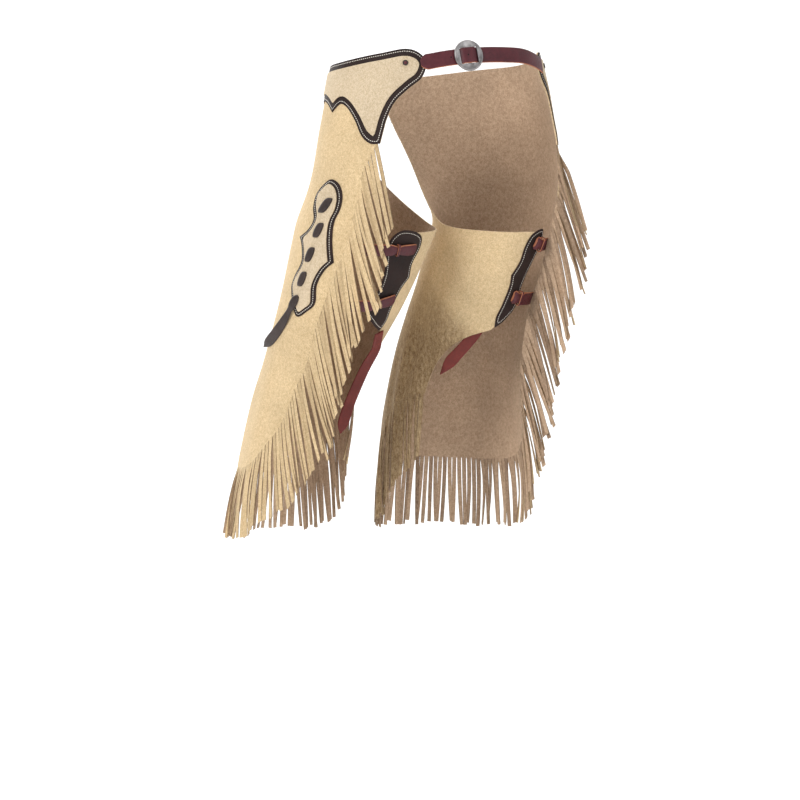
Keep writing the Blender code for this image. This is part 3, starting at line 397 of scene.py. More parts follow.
# Finishes: every pattern runs on object coordinates, so sizes are in metres of the real thing.
def newMaterial(name):
    material = bpy.data.materials.new(name)
    material.use_nodes = True
    nodes, links = material.node_tree.nodes, material.node_tree.links
    shader = nodes["Principled BSDF"]
    place = nodes.new("ShaderNodeTexCoord").outputs["Object"]
    return material, nodes, links, shader, place


def addNoise(nodes, links, place, scale, detail=3.0, roughness=0.55, stretch=None):
    if stretch:
        mapping = nodes.new("ShaderNodeMapping")
        mapping.inputs["Scale"].default_value = stretch
        links.new(place, mapping.inputs["Vector"])
        place = mapping.outputs["Vector"]
    noise = nodes.new("ShaderNodeTexNoise")
    noise.inputs["Scale"].default_value = scale
    noise.inputs["Detail"].default_value = detail
    noise.inputs["Roughness"].default_value = roughness
    links.new(place, noise.inputs["Vector"])
    return noise.outputs["Fac"]


def addRamp(nodes, links, source, stops):  # position and colour of each stop
    ramp = nodes.new("ShaderNodeValToRGB")
    while len(ramp.color_ramp.elements) < len(stops):
        ramp.color_ramp.elements.new(0.5)
    for element, (position, colour) in zip(ramp.color_ramp.elements, stops):
        element.position = position
        element.color = (*colour, 1.0) if len(colour) == 3 else colour
    links.new(source, ramp.inputs["Fac"])
    return ramp.outputs["Color"]


def addMix(nodes, links, factor, first, second, blendType="MIX"):
    mix = nodes.new("ShaderNodeMix")
    mix.data_type = "RGBA"
    mix.blend_type = blendType
    for value, socket in ((factor, mix.inputs[0]), (first, mix.inputs[6]), (second, mix.inputs[7])):
        if isinstance(value, (float, tuple)):
            socket.default_value = value
        else:
            links.new(value, socket)
    return mix.outputs[2]


def addBump(nodes, links, height, distance, strength=1.0, below=None):
    bump = nodes.new("ShaderNodeBump")
    bump.inputs["Distance"].default_value = distance
    bump.inputs["Strength"].default_value = strength
    links.new(height, bump.inputs["Height"])
    if below is not None:
        links.new(below, bump.inputs["Normal"])
    return bump.outputs["Normal"]


def makeSuede(name, light, dark, patch, nap, paintedShade=None):
    # light and dark tones of the nap, how strong the soft patches are, height of the nap, tone of the painted shade
    # where one leg shades the other
    material, nodes, links, shader, place = newMaterial(name)
    patches = addNoise(nodes, links, place, 14.0, 4.0, 0.6)
    mottle = addNoise(nodes, links, place, 230.0, 4.0, 0.65)
    fibre = addNoise(nodes, links, place, 900.0, 3.0, 0.7, stretch=(1.0, 1.0, 0.55))
    tone = addRamp(nodes, links, mottle, ((0.36, dark), (0.62, light)))
    soft = addRamp(nodes, links, patches, ((0.30, (1 - patch,) * 3), (0.68, (1 + 0.4 * patch,) * 3)))
    speck = addRamp(nodes, links, fibre, ((0.32, (0.72, 0.69, 0.64)), (0.60, (1.07, 1.07, 1.07))))
    tone = addMix(nodes, links, 1.0, tone, soft, "MULTIPLY")
    # painted shade: where the attribute is high, a noise-streaked mix darkens the nap towards a dark shade tone,
    # standing in for the shadow between the legs
    if paintedShade:
        wear = nodes.new("ShaderNodeAttribute")
        wear.attribute_name = "wear"
        rubAndShadeStreaks = addNoise(nodes, links, place, 300.0, 7.0, 0.85, stretch=(1.0, 1.0, 0.40))
        shadeStreaks = nodes.new("ShaderNodeMapRange")
        shadeStreaks.inputs["From Min"].default_value, shadeStreaks.inputs["From Max"].default_value = 0.22, 0.66
        links.new(rubAndShadeStreaks, shadeStreaks.inputs["Value"])
        amount = nodes.new("ShaderNodeMath")
        amount.operation = "MULTIPLY"
        links.new(wear.outputs["Fac"], amount.inputs[0])
        links.new(shadeStreaks.outputs["Result"], amount.inputs[1])
        tone = addMix(nodes, links, amount.outputs[0], tone, (*paintedShade, 1.0))
    tone = addMix(nodes, links, 1.0, tone, speck, "MULTIPLY")
    links.new(tone, shader.inputs["Base Color"])
    shader.inputs["Roughness"].default_value = 0.93
    shader.inputs["Specular IOR Level"].default_value = 0.18
    shader.inputs["Sheen Weight"].default_value = 0.22
    shader.inputs["Sheen Roughness"].default_value = 0.45
    shader.inputs["Sheen Tint"].default_value = (1.0, 0.90, 0.72, 1.0)
    low = addBump(nodes, links, mottle, 2.2 * nap, 0.55)
    links.new(addBump(nodes, links, fibre, nap, 0.8, low), shader.inputs["Normal"])
    return material


def makeSmoothLeather(name, light, dark, grain, roughness, grainHeight, shine=0.30):
    # tones, grain size per metre, gloss, height of the grain, strength of the shine
    material, nodes, links, shader, place = newMaterial(name)
    cells = nodes.new("ShaderNodeTexVoronoi")
    cells.feature = "DISTANCE_TO_EDGE"
    cells.inputs["Scale"].default_value = grain
    links.new(place, cells.inputs["Vector"])
    patches = addNoise(nodes, links, place, 26.0, 4.0, 0.6)
    wear = addNoise(nodes, links, place, 210.0, 5.0, 0.7)
    tone = addRamp(nodes, links, patches, ((0.32, dark), (0.68, light)))
    rubAndShadeStreaks = addRamp(nodes, links, wear, ((0.35, (0.80, 0.80, 0.80)), (0.70, (1.22, 1.20, 1.18))))
    tone = addMix(nodes, links, 0.8, tone, rubAndShadeStreaks, "MULTIPLY")
    links.new(tone, shader.inputs["Base Color"])
    gloss = addRamp(nodes, links, wear, ((0.3, (roughness - 0.08,) * 3), (0.7, (roughness + 0.12,) * 3)))
    links.new(gloss, shader.inputs["Roughness"])
    shader.inputs["Specular IOR Level"].default_value = shine
    low = addBump(nodes, links, wear, 0.5 * grainHeight, 0.5)
    furrow = addRamp(nodes, links, cells.outputs["Distance"], ((0.0, (0, 0, 0)), (0.16, (1, 1, 1))))
    links.new(addBump(nodes, links, furrow, grainHeight, 0.6, low), shader.inputs["Normal"])
    return material


def makeSteel(name):
    material, nodes, links, shader, place = newMaterial(name)
    brushing = addNoise(nodes, links, place, 240.0, 5.0, 0.75, stretch=(1.0, 1.0, 7.0))
    stain = addNoise(nodes, links, place, 90.0, 4.0, 0.6)
    tone = addRamp(nodes, links, stain, ((0.30, (0.17, 0.16, 0.16)), (0.66, (0.42, 0.40, 0.395))))
    links.new(tone, shader.inputs["Base Color"])
    shader.inputs["Metallic"].default_value = 1.0
    gloss = addRamp(nodes, links, brushing, ((0.3, (0.28,) * 3), (0.7, (0.50,) * 3)))
    links.new(gloss, shader.inputs["Roughness"])
    links.new(addBump(nodes, links, brushing, 0.00006, 0.6), shader.inputs["Normal"])
    return material


def makeThread(name, light, dark):
    material, nodes, links, shader, place = newMaterial(name)
    strands = addNoise(nodes, links, place, 1600.0, 2.0, 0.5)
    links.new(addRamp(nodes, links, strands, ((0.35, dark), (0.65, light))), shader.inputs["Base Color"])
    shader.inputs["Roughness"].default_value = 0.72
    shader.inputs["Sheen Weight"].default_value = 0.15
    links.new(addBump(nodes, links, strands, 0.00008, 0.7), shader.inputs["Normal"])
    return material


finishes = {
    # the last colour of sandSuede, rawSuedeEdge and fleshSide is the dark tone of painted shade between the legs
    "suede": makeSuede("sandSuede", (0.725, 0.560, 0.340), (0.630, 0.470, 0.270), 0.12, 0.00024, (0.138, 0.078, 0.036)),
    "cream": makeSuede("creamNubuck", (0.655, 0.540, 0.390), (0.590, 0.475, 0.325), 0.08, 0.00012),
    "suedeEdge": makeSuede("rawSuedeEdge", (0.760, 0.600, 0.390), (0.540, 0.390, 0.225), 0.10, 0.00020, (0.24, 0.17, 0.10)),
    "inside": makeSuede("fleshSide", (0.585, 0.425, 0.300), (0.455, 0.320, 0.218), 0.13, 0.00030, (0.095, 0.054, 0.032)),
    # painted shade: the strands' cut edges are dark so that the slits between strands read as shadow
    "paintedShadeCutEdge": makeSuede("paintedShadeCutEdge", (0.340, 0.240, 0.145), (0.210, 0.140, 0.080), 0.10, 0.00020),
    "dark": makeSmoothLeather("darkTrim", (0.028, 0.0155, 0.0135), (0.017, 0.0095, 0.0085), 1100, 0.60, 0.00010, 0.20),
    "darkEdge": makeSmoothLeather("darkTrimEdge", (0.085, 0.044, 0.029), (0.045, 0.024, 0.017), 1300, 0.70, 0.00010, 0.20),
    "lace": makeSmoothLeather("darkLace", (0.042, 0.026, 0.023), (0.022, 0.0135, 0.0125), 1400, 0.46, 0.00006, 0.36),
    "burgundy": makeSmoothLeather("burgundyStrap", (0.105, 0.0195, 0.0265), (0.066, 0.0125, 0.0180), 1000, 0.44, 0.00008, 0.34),
    "tail": makeSmoothLeather("burgundyTail", (0.190, 0.036, 0.029), (0.130, 0.024, 0.020), 1200, 0.58, 0.00010, 0.28),
    "rawEdge": makeSmoothLeather("orangeRawEdge", (0.500, 0.195, 0.100), (0.340, 0.115, 0.060), 1500, 0.62, 0.00012),
    # painted shade: a near-black disc stands for the shadowed inside of a punched hole
    "hole": makeSmoothLeather("punchedHoleShade", (0.016, 0.007, 0.007), (0.010, 0.005, 0.005), 1500, 0.80, 0.00004),
    "steel": makeSteel("wornSteel"),
    "thread": makeThread("paleThread", (0.86, 0.82, 0.74), (0.62, 0.57, 0.49)),
}
print("finishes ready:", len(finishes))


def addPiece(name, points, faces, skins, skinOf, node=None, slot=None):
    mesh = bpy.data.meshes.new(name)
    mesh.from_pydata([tuple(point) for point in points], [], [tuple(face) for face in faces])
    for skin in skins:
        mesh.materials.append(finishes[skin])
    mesh.polygons.foreach_set("material_index", np.array(skinOf, np.int32))
    mesh.shade_smooth()
    mesh.set_sharp_from_angle(angle=sharpTurn)
    piece = bpy.data.objects.new(name, mesh)
    bpy.context.scene.collection.objects.link(piece)
    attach(piece, "root")
    if node:
        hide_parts(node)
    return piece


# A wall over a flat net, laid on the leg. profile gives how much of the thickness each ring has.
def wallPiece(name, side, loop, level, thickness, spacing, skins, node, slot, profile=()):
    corners, triangles = flatNet(loop, spacing, [ring for ring, height in profile if ring > 0])
    # amount of painted shade between the legs at each corner
    wear = [paintedShadeAt(side, *corner) for corner in corners]
    depth = np.full(len(corners), thickness)
    if profile:
        reach, share = zip(*profile)
        depth = thickness * np.interp(toLoop(corners, loop), reach, share)
    lower = onLeg(side, corners, level)
    upper = onLeg(side, corners, level + depth)
    count = len(corners)
    if hands[side] < 0:
        triangles = triangles[:, [0, 2, 1]]
    faces = [tuple(t + count) for t in triangles] + [tuple(t[::-1]) for t in triangles]
    skinOf = [0] * len(triangles) + [1] * len(triangles)
    edges = {(int(t[k]), int(t[(k + 1) % 3])) for t in triangles for k in range(3)}
    for a, b in sorted(edges):
        if (b, a) not in edges:
            faces.append((a, b, b + count, a + count))
            skinOf.append(2)
    piece = addPiece(name, np.concatenate([lower, upper]), faces, skins, skinOf, node, slot)
    addValues(piece.data, "wear", wear + wear)
    return piece


def flatArea(loop):
    x, y = loop[:, 0], loop[:, 1]
    return 0.5 * abs(float((x * np.roll(y, -1) - np.roll(x, -1) * y).sum()))


# Fringe: Geometry Nodes lay one strand at each root, and bend, twist and fan it by its own chance.
fringeCut = {
    "backHang": {  # share along the edge, length, lean away from the edge, lift, hug of the slope
        "left": (
            (0.00, 0.122, 0.56, 0.25, 0.75), (0.12, 0.126, 0.44, 0.25, 0.75), (0.22, 0.125, 0.38, 0.25, 0.75),
            (0.31, 0.122, 0.26, 0.25, 0.75), (0.42, 0.124, 0.30, 0.25, 0.75), (0.60, 0.126, 0.34, 0.25, 0.75),
            (0.80, 0.112, 0.34, 0.25, 0.75), (1.00, 0.098, 0.34, 0.25, 0.75),
        ),
        "right": (
            (0.00, 0.118, 0.34, 0.20, 0.00), (0.05, 0.122, 0.28, 0.30, 0.00), (0.10, 0.126, 0.22, 0.40, 0.00),
            (0.16, 0.126, 0.22, 0.38, 0.00), (0.24, 0.126, 0.22, 0.38, 0.00), (0.32, 0.126, 0.20, 0.42, 0.00),
            (0.44, 0.126, 0.20, 0.46, 0.00), (0.60, 0.124, 0.20, 0.42, 0.00), (0.72, 0.116, 0.22, 0.30, 0.00),
            (0.85, 0.106, 0.28, 0.10, 0.20), (1.00, 0.092, 0.32, 0.02, 0.50),
        ),
    },
    "hemHang": {
        "left": (
            (0.00, 0.098, 0.05, 0.16, 0.75), (0.45, 0.100, 0.05, 0.16, 0.75), (0.62, 0.116, 0.05, 0.16, 0.75),
            (0.78, 0.124, 0.05, 0.16, 0.75), (0.90, 0.110, 0.05, 0.16, 0.75), (1.00, 0.088, 0.05, 0.16, 0.75),
        ),
        "right": (
            (0.00, 0.096, 0.05, 0.06, 0.45), (0.45, 0.100, 0.05, 0.16, 0.60), (0.62, 0.116, 0.05, 0.06, 0.20),
            (0.78, 0.124, 0.05, 0.03, 0.00), (0.90, 0.110, 0.05, 0.03, 0.00), (1.00, 0.088, 0.05, 0.03, 0.10),
        ),
    },
    "leastLift": 0.03,
    "smoothing": 4,
    "fill": 0.86,  # width of a strand next to the room it has
    "breadth": {"left": 0.0050, "right": 0.0058},  # the least width: on a steep edge strands lie over each other
    "layer": {"left": 0.0028, "right": 0.0042},  # how far strands stand apart, in three layers
    "sideBySide": 0.35,  # share of that where they don't lie over each other
    "length": (0.96, 1.03),
    "tone": {"left": 0.45, "right": 0.90},  # how dark painted shade may make a single strand, at random
    "rows": {"Rings": 15, "Root Fill": 0.90, "Opening": 0.06, "Taper": 0.08, "Root Thickness": suede,
             "Thickness": 0.0013, "Flutter": 0.0032, "Bow": 0.0030, "Cup": 0.0009},
    "back": {"left": {"Sway": 0.0070, "Curl": 1.00}, "right": {"Sway": 0.0085, "Curl": 1.50}},
    "hem": {"left": {"Sway": 0.0044, "Curl": 0.75}, "right": {"Sway": 0.0050, "Curl": 0.95}},
}


def nodeTools(tree):  # short ways to add nodes to one tree
    nodes, links = tree.nodes, tree.links

    def feed(socket, value):
        if isinstance(value, bpy.types.NodeSocket):
            links.new(value, socket)
        else:
            socket.default_value = value

    def add(kind, settings=None, **values):
        node = nodes.new(kind)
        for key, value in (settings or {}).items():
            setattr(node, key, value)
        sockets = {socket.name.replace(" ", ""): socket for socket in reversed(node.inputs) if socket.enabled}
        for key, value in values.items():
            feed(sockets[key], value)
        return node

    def result(node):
        return next(socket for socket in node.outputs if socket.enabled)

    def number(operation, *values):
        node = nodes.new("ShaderNodeMath")
        node.operation = operation
        for socket, value in zip(node.inputs, values):
            feed(socket, value)
        return node.outputs[0]

    def vector(operation, first, second=None, third=None):
        node = nodes.new("ShaderNodeVectorMath")
        node.operation = operation
        feed(node.inputs[0], first)
        if second is not None:
            feed(node.inputs["Scale"] if operation == "SCALE" else node.inputs[1], second)
        if third is not None:
            feed(node.inputs[2], third)
        return result(node)

    def named(name, kind="FLOAT_VECTOR"):
        return result(add("GeometryNodeInputNamedAttribute", {"data_type": kind}, Name=name))

    return add, result, number, vector, named


def strandTree():
    tree = bpy.data.node_groups.new("strandRow", "GeometryNodeTree")
    face = tree.interface
    face.new_socket("Geometry", in_out="INPUT", socket_type="NodeSocketGeometry")
    face.new_socket("Rings", in_out="INPUT", socket_type="NodeSocketInt")
    for label in ("Root Fill", "Opening", "Taper", "Root Thickness", "Thickness", "Sway", "Flutter", "Curl",
                  "Bow", "Cup"):
        face.new_socket(label, in_out="INPUT", socket_type="NodeSocketFloat")
    face.new_socket("Seed", in_out="INPUT", socket_type="NodeSocketInt")
    for label in ("Outer Skin", "Inner Skin", "Edge Skin"):
        face.new_socket(label, in_out="INPUT", socket_type="NodeSocketMaterial")
    face.new_socket("Geometry", in_out="OUTPUT", socket_type="NodeSocketGeometry")
    add, result, number, vector, named = nodeTools(tree)
    given = tree.nodes.new("NodeGroupInput").outputs

    # one strip, five points wide, marked with its place from -0.5 to 0.5 each way
    strip = add("GeometryNodeMeshCube", VerticesX=5, VerticesY=2, VerticesZ=given["Rings"]).outputs["Mesh"]
    ownPlace = tree.nodes.new("GeometryNodeInputPosition").outputs[0]
    vectorKind = {"data_type": "FLOAT_VECTOR", "domain": "POINT"}
    marked = add("GeometryNodeStoreNamedAttribute", vectorKind, Geometry=strip, Name="place", Value=ownPlace)
    rooted = add(
        "GeometryNodeStoreNamedAttribute", vectorKind, Geometry=given["Geometry"], Name="root", Value=ownPlace
    )
    counted = add(
        "GeometryNodeStoreNamedAttribute", {"data_type": "INT", "domain": "POINT"},
        Geometry=rooted.outputs[0], Name="strand", Value=tree.nodes.new("GeometryNodeInputIndex").outputs[0],
    )
    row = add("GeometryNodeInstanceOnPoints", Points=counted.outputs[0], Instance=marked.outputs[0])
    real = add("GeometryNodeRealizeInstances", Geometry=row.outputs[0]).outputs[0]

    x, y, z = add("ShaderNodeSeparateXYZ", Vector=named("place")).outputs
    share = number("POWER", number("MAXIMUM", number("ADD", z, 0.5), 0.0), 1.25)
    strand = named("strand", "INT")

    def chance(low, high, offset):
        return result(
            add("FunctionNodeRandomValue", {"data_type": "FLOAT"}, Min=low, Max=high, ID=strand,
                Seed=number("ADD", given["Seed"], float(offset)))
        )

    def smooth(value, end):
        return add("ShaderNodeMapRange", {"interpolation_type": "SMOOTHSTEP"}, Value=value, FromMax=end).outputs[0]

    opened = smooth(share, given["Opening"])
    shareSquared = number("MULTIPLY", share, share)
    across, facing, fall = named("acrossWay"), named("faceWay"), named("fallPath")
    turn = number("MULTIPLY", number("MULTIPLY", chance(-1.0, 1.0, 1), given["Curl"]), share)
    cosine, sine = number("COSINE", turn), number("SINE", turn)
    turnedAcross = vector("ADD", vector("SCALE", across, cosine), vector("SCALE", facing, sine))
    turnedFace = vector("SUBTRACT", vector("SCALE", facing, cosine), vector("SCALE", across, sine))
    mixKind = {"data_type": "VECTOR"}
    normal = vector(
        "NORMALIZE", result(add("ShaderNodeMix", mixKind, Factor=opened, A=named("rootFace"), B=turnedFace))
    )
    width = number(
        "MULTIPLY", named("breadth", "FLOAT"), number("SUBTRACT", 1.0, number("MULTIPLY", given["Taper"], share))
    )
    slant = number(
        "MULTIPLY", named("slant", "FLOAT"),
        number("SUBTRACT", 1.0, number("MULTIPLY", chance(0.0, 0.85, 2), smooth(share, 1.0))),
    )
    free = vector(
        "ADD", vector("SCALE", turnedAcross, width), vector("SCALE", vector("NORMALIZE", fall), slant)
    )
    rootSection = vector("SCALE", named("rootStretch"), given["Root Fill"])
    section = result(add("ShaderNodeMix", mixKind, Factor=opened, A=rootSection, B=free))
    stands = number("MULTIPLY", named("layer", "FLOAT"), smooth(share, 0.3))
    flutter = number("MULTIPLY", number("MULTIPLY", chance(-1.0, 1.0, 3), given["Flutter"]), shareSquared)
    bow = number("MULTIPLY", chance(0.0, 1.0, 4), given["Bow"])
    bow = number("MULTIPLY", bow, number("SINE", number("MULTIPLY", share, math.pi)))
    sway = number("MULTIPLY", number("MULTIPLY", chance(-1.0, 1.0, 5), given["Sway"]), shareSquared)
    cup = number("MULTIPLY", number("SUBTRACT", 0.25, number("MULTIPLY", x, x)), 4.0)
    cup = number("MULTIPLY", number("MULTIPLY", cup, given["Cup"]), number("MULTIPLY", opened, chance(-1.0, 1.0, 6)))
    thick = number(
        "ADD", given["Root Thickness"],
        number("MULTIPLY", opened, number("SUBTRACT", given["Thickness"], given["Root Thickness"])),
    )
    offFace = number("ADD", number("ADD", stands, flutter), bow)
    place = vector("ADD", named("root"), vector("SCALE", fall, share))
    place = vector("ADD", place, vector("SCALE", facing, offFace))
    place = vector("ADD", place, vector("SCALE", across, sway))
    place = vector("ADD", place, vector("SCALE", section, x))
    place = vector("ADD", place, vector("SCALE", normal, number("ADD", number("MULTIPLY", thick, y), cup)))
    shaped = add("GeometryNodeSetPosition", Geometry=real, Position=place)
    outer = add("FunctionNodeCompare", {"data_type": "FLOAT", "operation": "GREATER_THAN"}, A=y, B=0.4)
    inner = add("FunctionNodeCompare", {"data_type": "FLOAT", "operation": "LESS_THAN"}, A=y, B=-0.4)
    painted = add("GeometryNodeSetMaterial", Geometry=shaped.outputs[0], Material=given["Edge Skin"])
    painted = add(
        "GeometryNodeSetMaterial", Geometry=painted.outputs[0], Selection=result(outer), Material=given["Outer Skin"]
    )
    painted = add(
        "GeometryNodeSetMaterial", Geometry=painted.outputs[0], Selection=result(inner), Material=given["Inner Skin"]
    )
    add("NodeGroupOutput", Geometry=painted.outputs[0])
    return tree


strandRow = strandTree()


def fromNodes(name, guide, tree, values, keep=()):  # the tree's result as a plain mesh of its own
    holder = bpy.data.objects.new(name + "_guide", guide)
    bpy.context.scene.collection.objects.link(holder)
    modifier = holder.modifiers.new("shape", "NODES")
    modifier.node_group = tree
    for item in tree.interface.items_tree:
        if item.in_out == "INPUT" and item.name in values:
            modifier[item.identifier] = values[item.name]
    mesh = bpy.data.meshes.new_from_object(holder.evaluated_get(bpy.context.evaluated_depsgraph_get()))
    mesh.name = name
    spare = [a.name for a in mesh.attributes if not a.is_required and not a.is_internal and a.name not in keep]
    for attribute in spare:
        if attribute not in ("material_index", "sharp_edge", "sharp_face", "UVMap"):
            mesh.attributes.remove(mesh.attributes[attribute])
    bpy.data.objects.remove(holder)
    mesh.shade_smooth()
    mesh.set_sharp_from_angle(angle=sharpTurn)
    piece = bpy.data.objects.new(name, mesh)
    bpy.context.scene.collection.objects.link(piece)
    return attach(piece, "root")


def addValues(mesh, name, values):
    values = np.array(values, np.float32)
    if values.ndim == 2:
        mesh.attributes.new(name, "FLOAT_VECTOR", "POINT").data.foreach_set("vector", values.ravel())
    else:
        mesh.attributes.new(name, "FLOAT", "POINT").data.foreach_set("value", values)


def fringePiece(name, side, roots, hangs, own, node, seed):
    chance = random.Random(seed)
    hand = hands[side]
    places = onLeg(side, roots, 0.5 * suede)
    outs = legOutward(side, roots[:, 0] / clothPerDegree, roots[:, 1])
    along = unit(np.gradient(places, axis=0))
    aways = unit(hand * np.cross(outs, along))
    found = {key: [] for key in ("rootStretch", "rootFace", "acrossWay", "faceWay", "fallPath", "breadth",
                                 "slant", "layer", "wear")}
    middles = []
    for i in range(len(places) - 1):
        window = slice(max(i - fringeCut["smoothing"], 0), i + fringeCut["smoothing"] + 2)
        out, away = unit(outs[window].sum(0)), unit(aways[window].sum(0))
        edge = places[i + 1] - places[i]
        steep = float(unit(edge)[2]) ** 2
        length, lean, lift, hug = (float(x) for x in throughRows(hangs, np.array((i + 0.5) / (len(places) - 1))))
        lean *= 0.25 + 0.75 * steep
        lift = fringeCut["leastLift"] + (lift - fringeCut["leastLift"]) * steep
        down = np.array([0.0, 0.0, -1.0])
        down = unit(down - hug * down.dot(out) * out)
        fall = unit(down + lean * away + lift * out)
        wide = edge - edge.dot(fall) * fall
        room = float(np.linalg.norm(wide))
        breadth = max(fringeCut["fill"] * room, fringeCut["breadth"][side])
        over = min(1.0, max(0.0, 1.6 * (breadth / room - 1.0)))  # 1 where strands lie over each other
        found["rootStretch"].append(-hand * edge)
        found["rootFace"].append(unit(outs[i] + outs[i + 1]))
        found["acrossWay"].append(-hand * unit(wide))
        found["faceWay"].append(unit(hand * np.cross(wide, fall)))
        found["fallPath"].append(length * chance.uniform(*fringeCut["length"]) * fall)
        found["breadth"].append(breadth)
        found["slant"].append(-hand * edge.dot(fall) * (1.0 - 0.8 * over))
        apart = fringeCut["layer"][side] * max(over, fringeCut["sideBySide"])
        found["layer"].append(apart * ((i * 2) % 3 - 0.6 + chance.uniform(-0.2, 0.2)))
        # painted shade between the legs at the strand's root
        paintedShade = paintedShadeAt(side, *(0.5 * (roots[i] + roots[i + 1])))
        # plus painted shade on a random few strands, darker as strands in shadow look
        found["wear"].append(min(1.0, paintedShade + fringeCut["tone"][side] * chance.random() ** 2))
        middles.append(0.5 * (places[i] + places[i + 1]))
    guide = bpy.data.meshes.new(name + "_guide")
    guide.from_pydata([tuple(point) for point in middles], [], [])
    for key, values in found.items():
        addValues(guide, key, values)
    values = fringeCut["rows"] | own
    values |= {"Seed": seed, "Outer Skin": finishes["suede"], "Inner Skin": finishes["inside"],
               "Edge Skin": finishes["paintedShadeCutEdge"]}
    piece = fromNodes(name, guide, strandRow, values, keep=("wear",))
    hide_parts(node)
    return piece


def paintedShadeAt(side, x, height):  # 1 where painted shade darkens the nap: the inner sides of the legs and lower down, where one leg shades the other; full on the right leg, a third on the left
    turn = x / clothPerDegree
    reach = -118 - 72 * ease((-0.29 - height) / 0.13)
    inner = ease((-22 - turn) / 36) * ease((turn - reach) / 36)
    # a soft pool of painted shade high on the inner thigh
    soft = 0.34 * math.exp(-(((turn + 116) / 24) ** 2) - ((height + 0.300) / 0.042) ** 2)
    return max(inner * ease((-0.23 - height) / 0.19), soft) * (1.0 if side == "right" else 0.35)


# Stitches: Geometry Nodes lay one small stitch at each step along a line on the leather.
stitchWork = {"pitch": 0.0031, "length": 0.0023, "width": 0.00105, "height": 0.0007}


def stitchTree():
    tree = bpy.data.node_groups.new("stitchLine", "GeometryNodeTree")
    face = tree.interface
    face.new_socket("Geometry", in_out="INPUT", socket_type="NodeSocketGeometry")
    for label in ("Pitch", "Length", "Width", "Height"):
        face.new_socket(label, in_out="INPUT", socket_type="NodeSocketFloat")
    face.new_socket("Thread", in_out="INPUT", socket_type="NodeSocketMaterial")
    face.new_socket("Geometry", in_out="OUTPUT", socket_type="NodeSocketGeometry")
    nodes, links = tree.nodes, tree.links
    given, made = nodes.new("NodeGroupInput"), nodes.new("NodeGroupOutput")
    toCurve = nodes.new("GeometryNodeMeshToCurve")
    resample = nodes.new("GeometryNodeResampleCurve")
    resample.mode = "LENGTH"
    tangent = nodes.new("GeometryNodeInputTangent")
    outward = nodes.new("GeometryNodeInputNamedAttribute")
    outward.data_type = "FLOAT_VECTOR"
    outward.inputs["Name"].default_value = "outward"
    alongLine = nodes.new("FunctionNodeAlignRotationToVector")
    alongLine.axis = "X"
    faceOut = nodes.new("FunctionNodeAlignRotationToVector")
    faceOut.axis = "Z"
    faceOut.pivot_axis = "X"
    bead = nodes.new("GeometryNodeMeshUVSphere")
    bead.inputs["Segments"].default_value = 8
    bead.inputs["Rings"].default_value = 5
    bead.inputs["Radius"].default_value = 0.5
    size = nodes.new("ShaderNodeCombineXYZ")
    instances = nodes.new("GeometryNodeInstanceOnPoints")
    realize = nodes.new("GeometryNodeRealizeInstances")
    smooth = nodes.new("GeometryNodeSetShadeSmooth")
    paint = nodes.new("GeometryNodeSetMaterial")
    links.new(given.outputs["Geometry"], toCurve.inputs["Mesh"])
    links.new(toCurve.outputs["Curve"], resample.inputs["Curve"])
    links.new(given.outputs["Pitch"], resample.inputs["Length"])
    links.new(tangent.outputs["Tangent"], alongLine.inputs["Vector"])
    links.new(alongLine.outputs["Rotation"], faceOut.inputs["Rotation"])
    links.new(outward.outputs["Attribute"], faceOut.inputs["Vector"])
    links.new(given.outputs["Length"], size.inputs["X"])
    links.new(given.outputs["Width"], size.inputs["Y"])
    links.new(given.outputs["Height"], size.inputs["Z"])
    links.new(resample.outputs["Curve"], instances.inputs["Points"])
    links.new(bead.outputs["Mesh"], instances.inputs["Instance"])
    links.new(faceOut.outputs["Rotation"], instances.inputs["Rotation"])
    links.new(size.outputs["Vector"], instances.inputs["Scale"])
    links.new(instances.outputs["Instances"], realize.inputs["Geometry"])
    links.new(realize.outputs["Geometry"], smooth.inputs["Geometry"])
    links.new(smooth.outputs["Geometry"], paint.inputs["Geometry"])
    links.new(given.outputs["Thread"], paint.inputs["Material"])
    links.new(paint.outputs["Geometry"], made.inputs["Geometry"])
    return tree


stitchLine = stitchTree()


def stitchPiece(name, lines, thread="thread", work=stitchWork):  # lines: points, outward, closed
    points, outs, edges = [], [], []
    for line, normals, closed in lines:
        first = len(points)
        points += [tuple(point) for point in line]
        outs += [tuple(normal) for normal in normals]
        edges += [(first + k, first + k + 1) for k in range(len(line) - 1)]
        if closed:
            edges.append((first + len(line) - 1, first))
    guide = bpy.data.meshes.new(name + "_guide")
    guide.from_pydata(points, edges, [])
    addValues(guide, "outward", outs)
    values = {
        "Pitch": work["pitch"], "Length": work["length"], "Width": work["width"],
        "Height": work["height"], "Thread": finishes[thread],
    }
    return fromNodes(name, guide, stitchLine, values)


def legLine(side, loop, level):  # a flat loop as a closed line on the worn leather
    return onLeg(side, loop, level), legOutward(side, loop[:, 0] / clothPerDegree, loop[:, 1]), True


# Straps: a rounded section swept along a path of centre, up, width and thickness.
def strapPath(centres, ups, widths, thicknesses, steps):
    count = len(centres)
    rows = [
        (k, *centres[k], *ups[k], widths[k], thicknesses[k])
        for k in range(count)
    ]
    at = np.linspace(0, count - 1, (count - 1) * steps + 1)
    table = throughRows(rows, at)
    return table[0:3].T, unit(table[3:6].T), np.maximum(table[6], 0.0008), np.maximum(table[7], 0.0008)


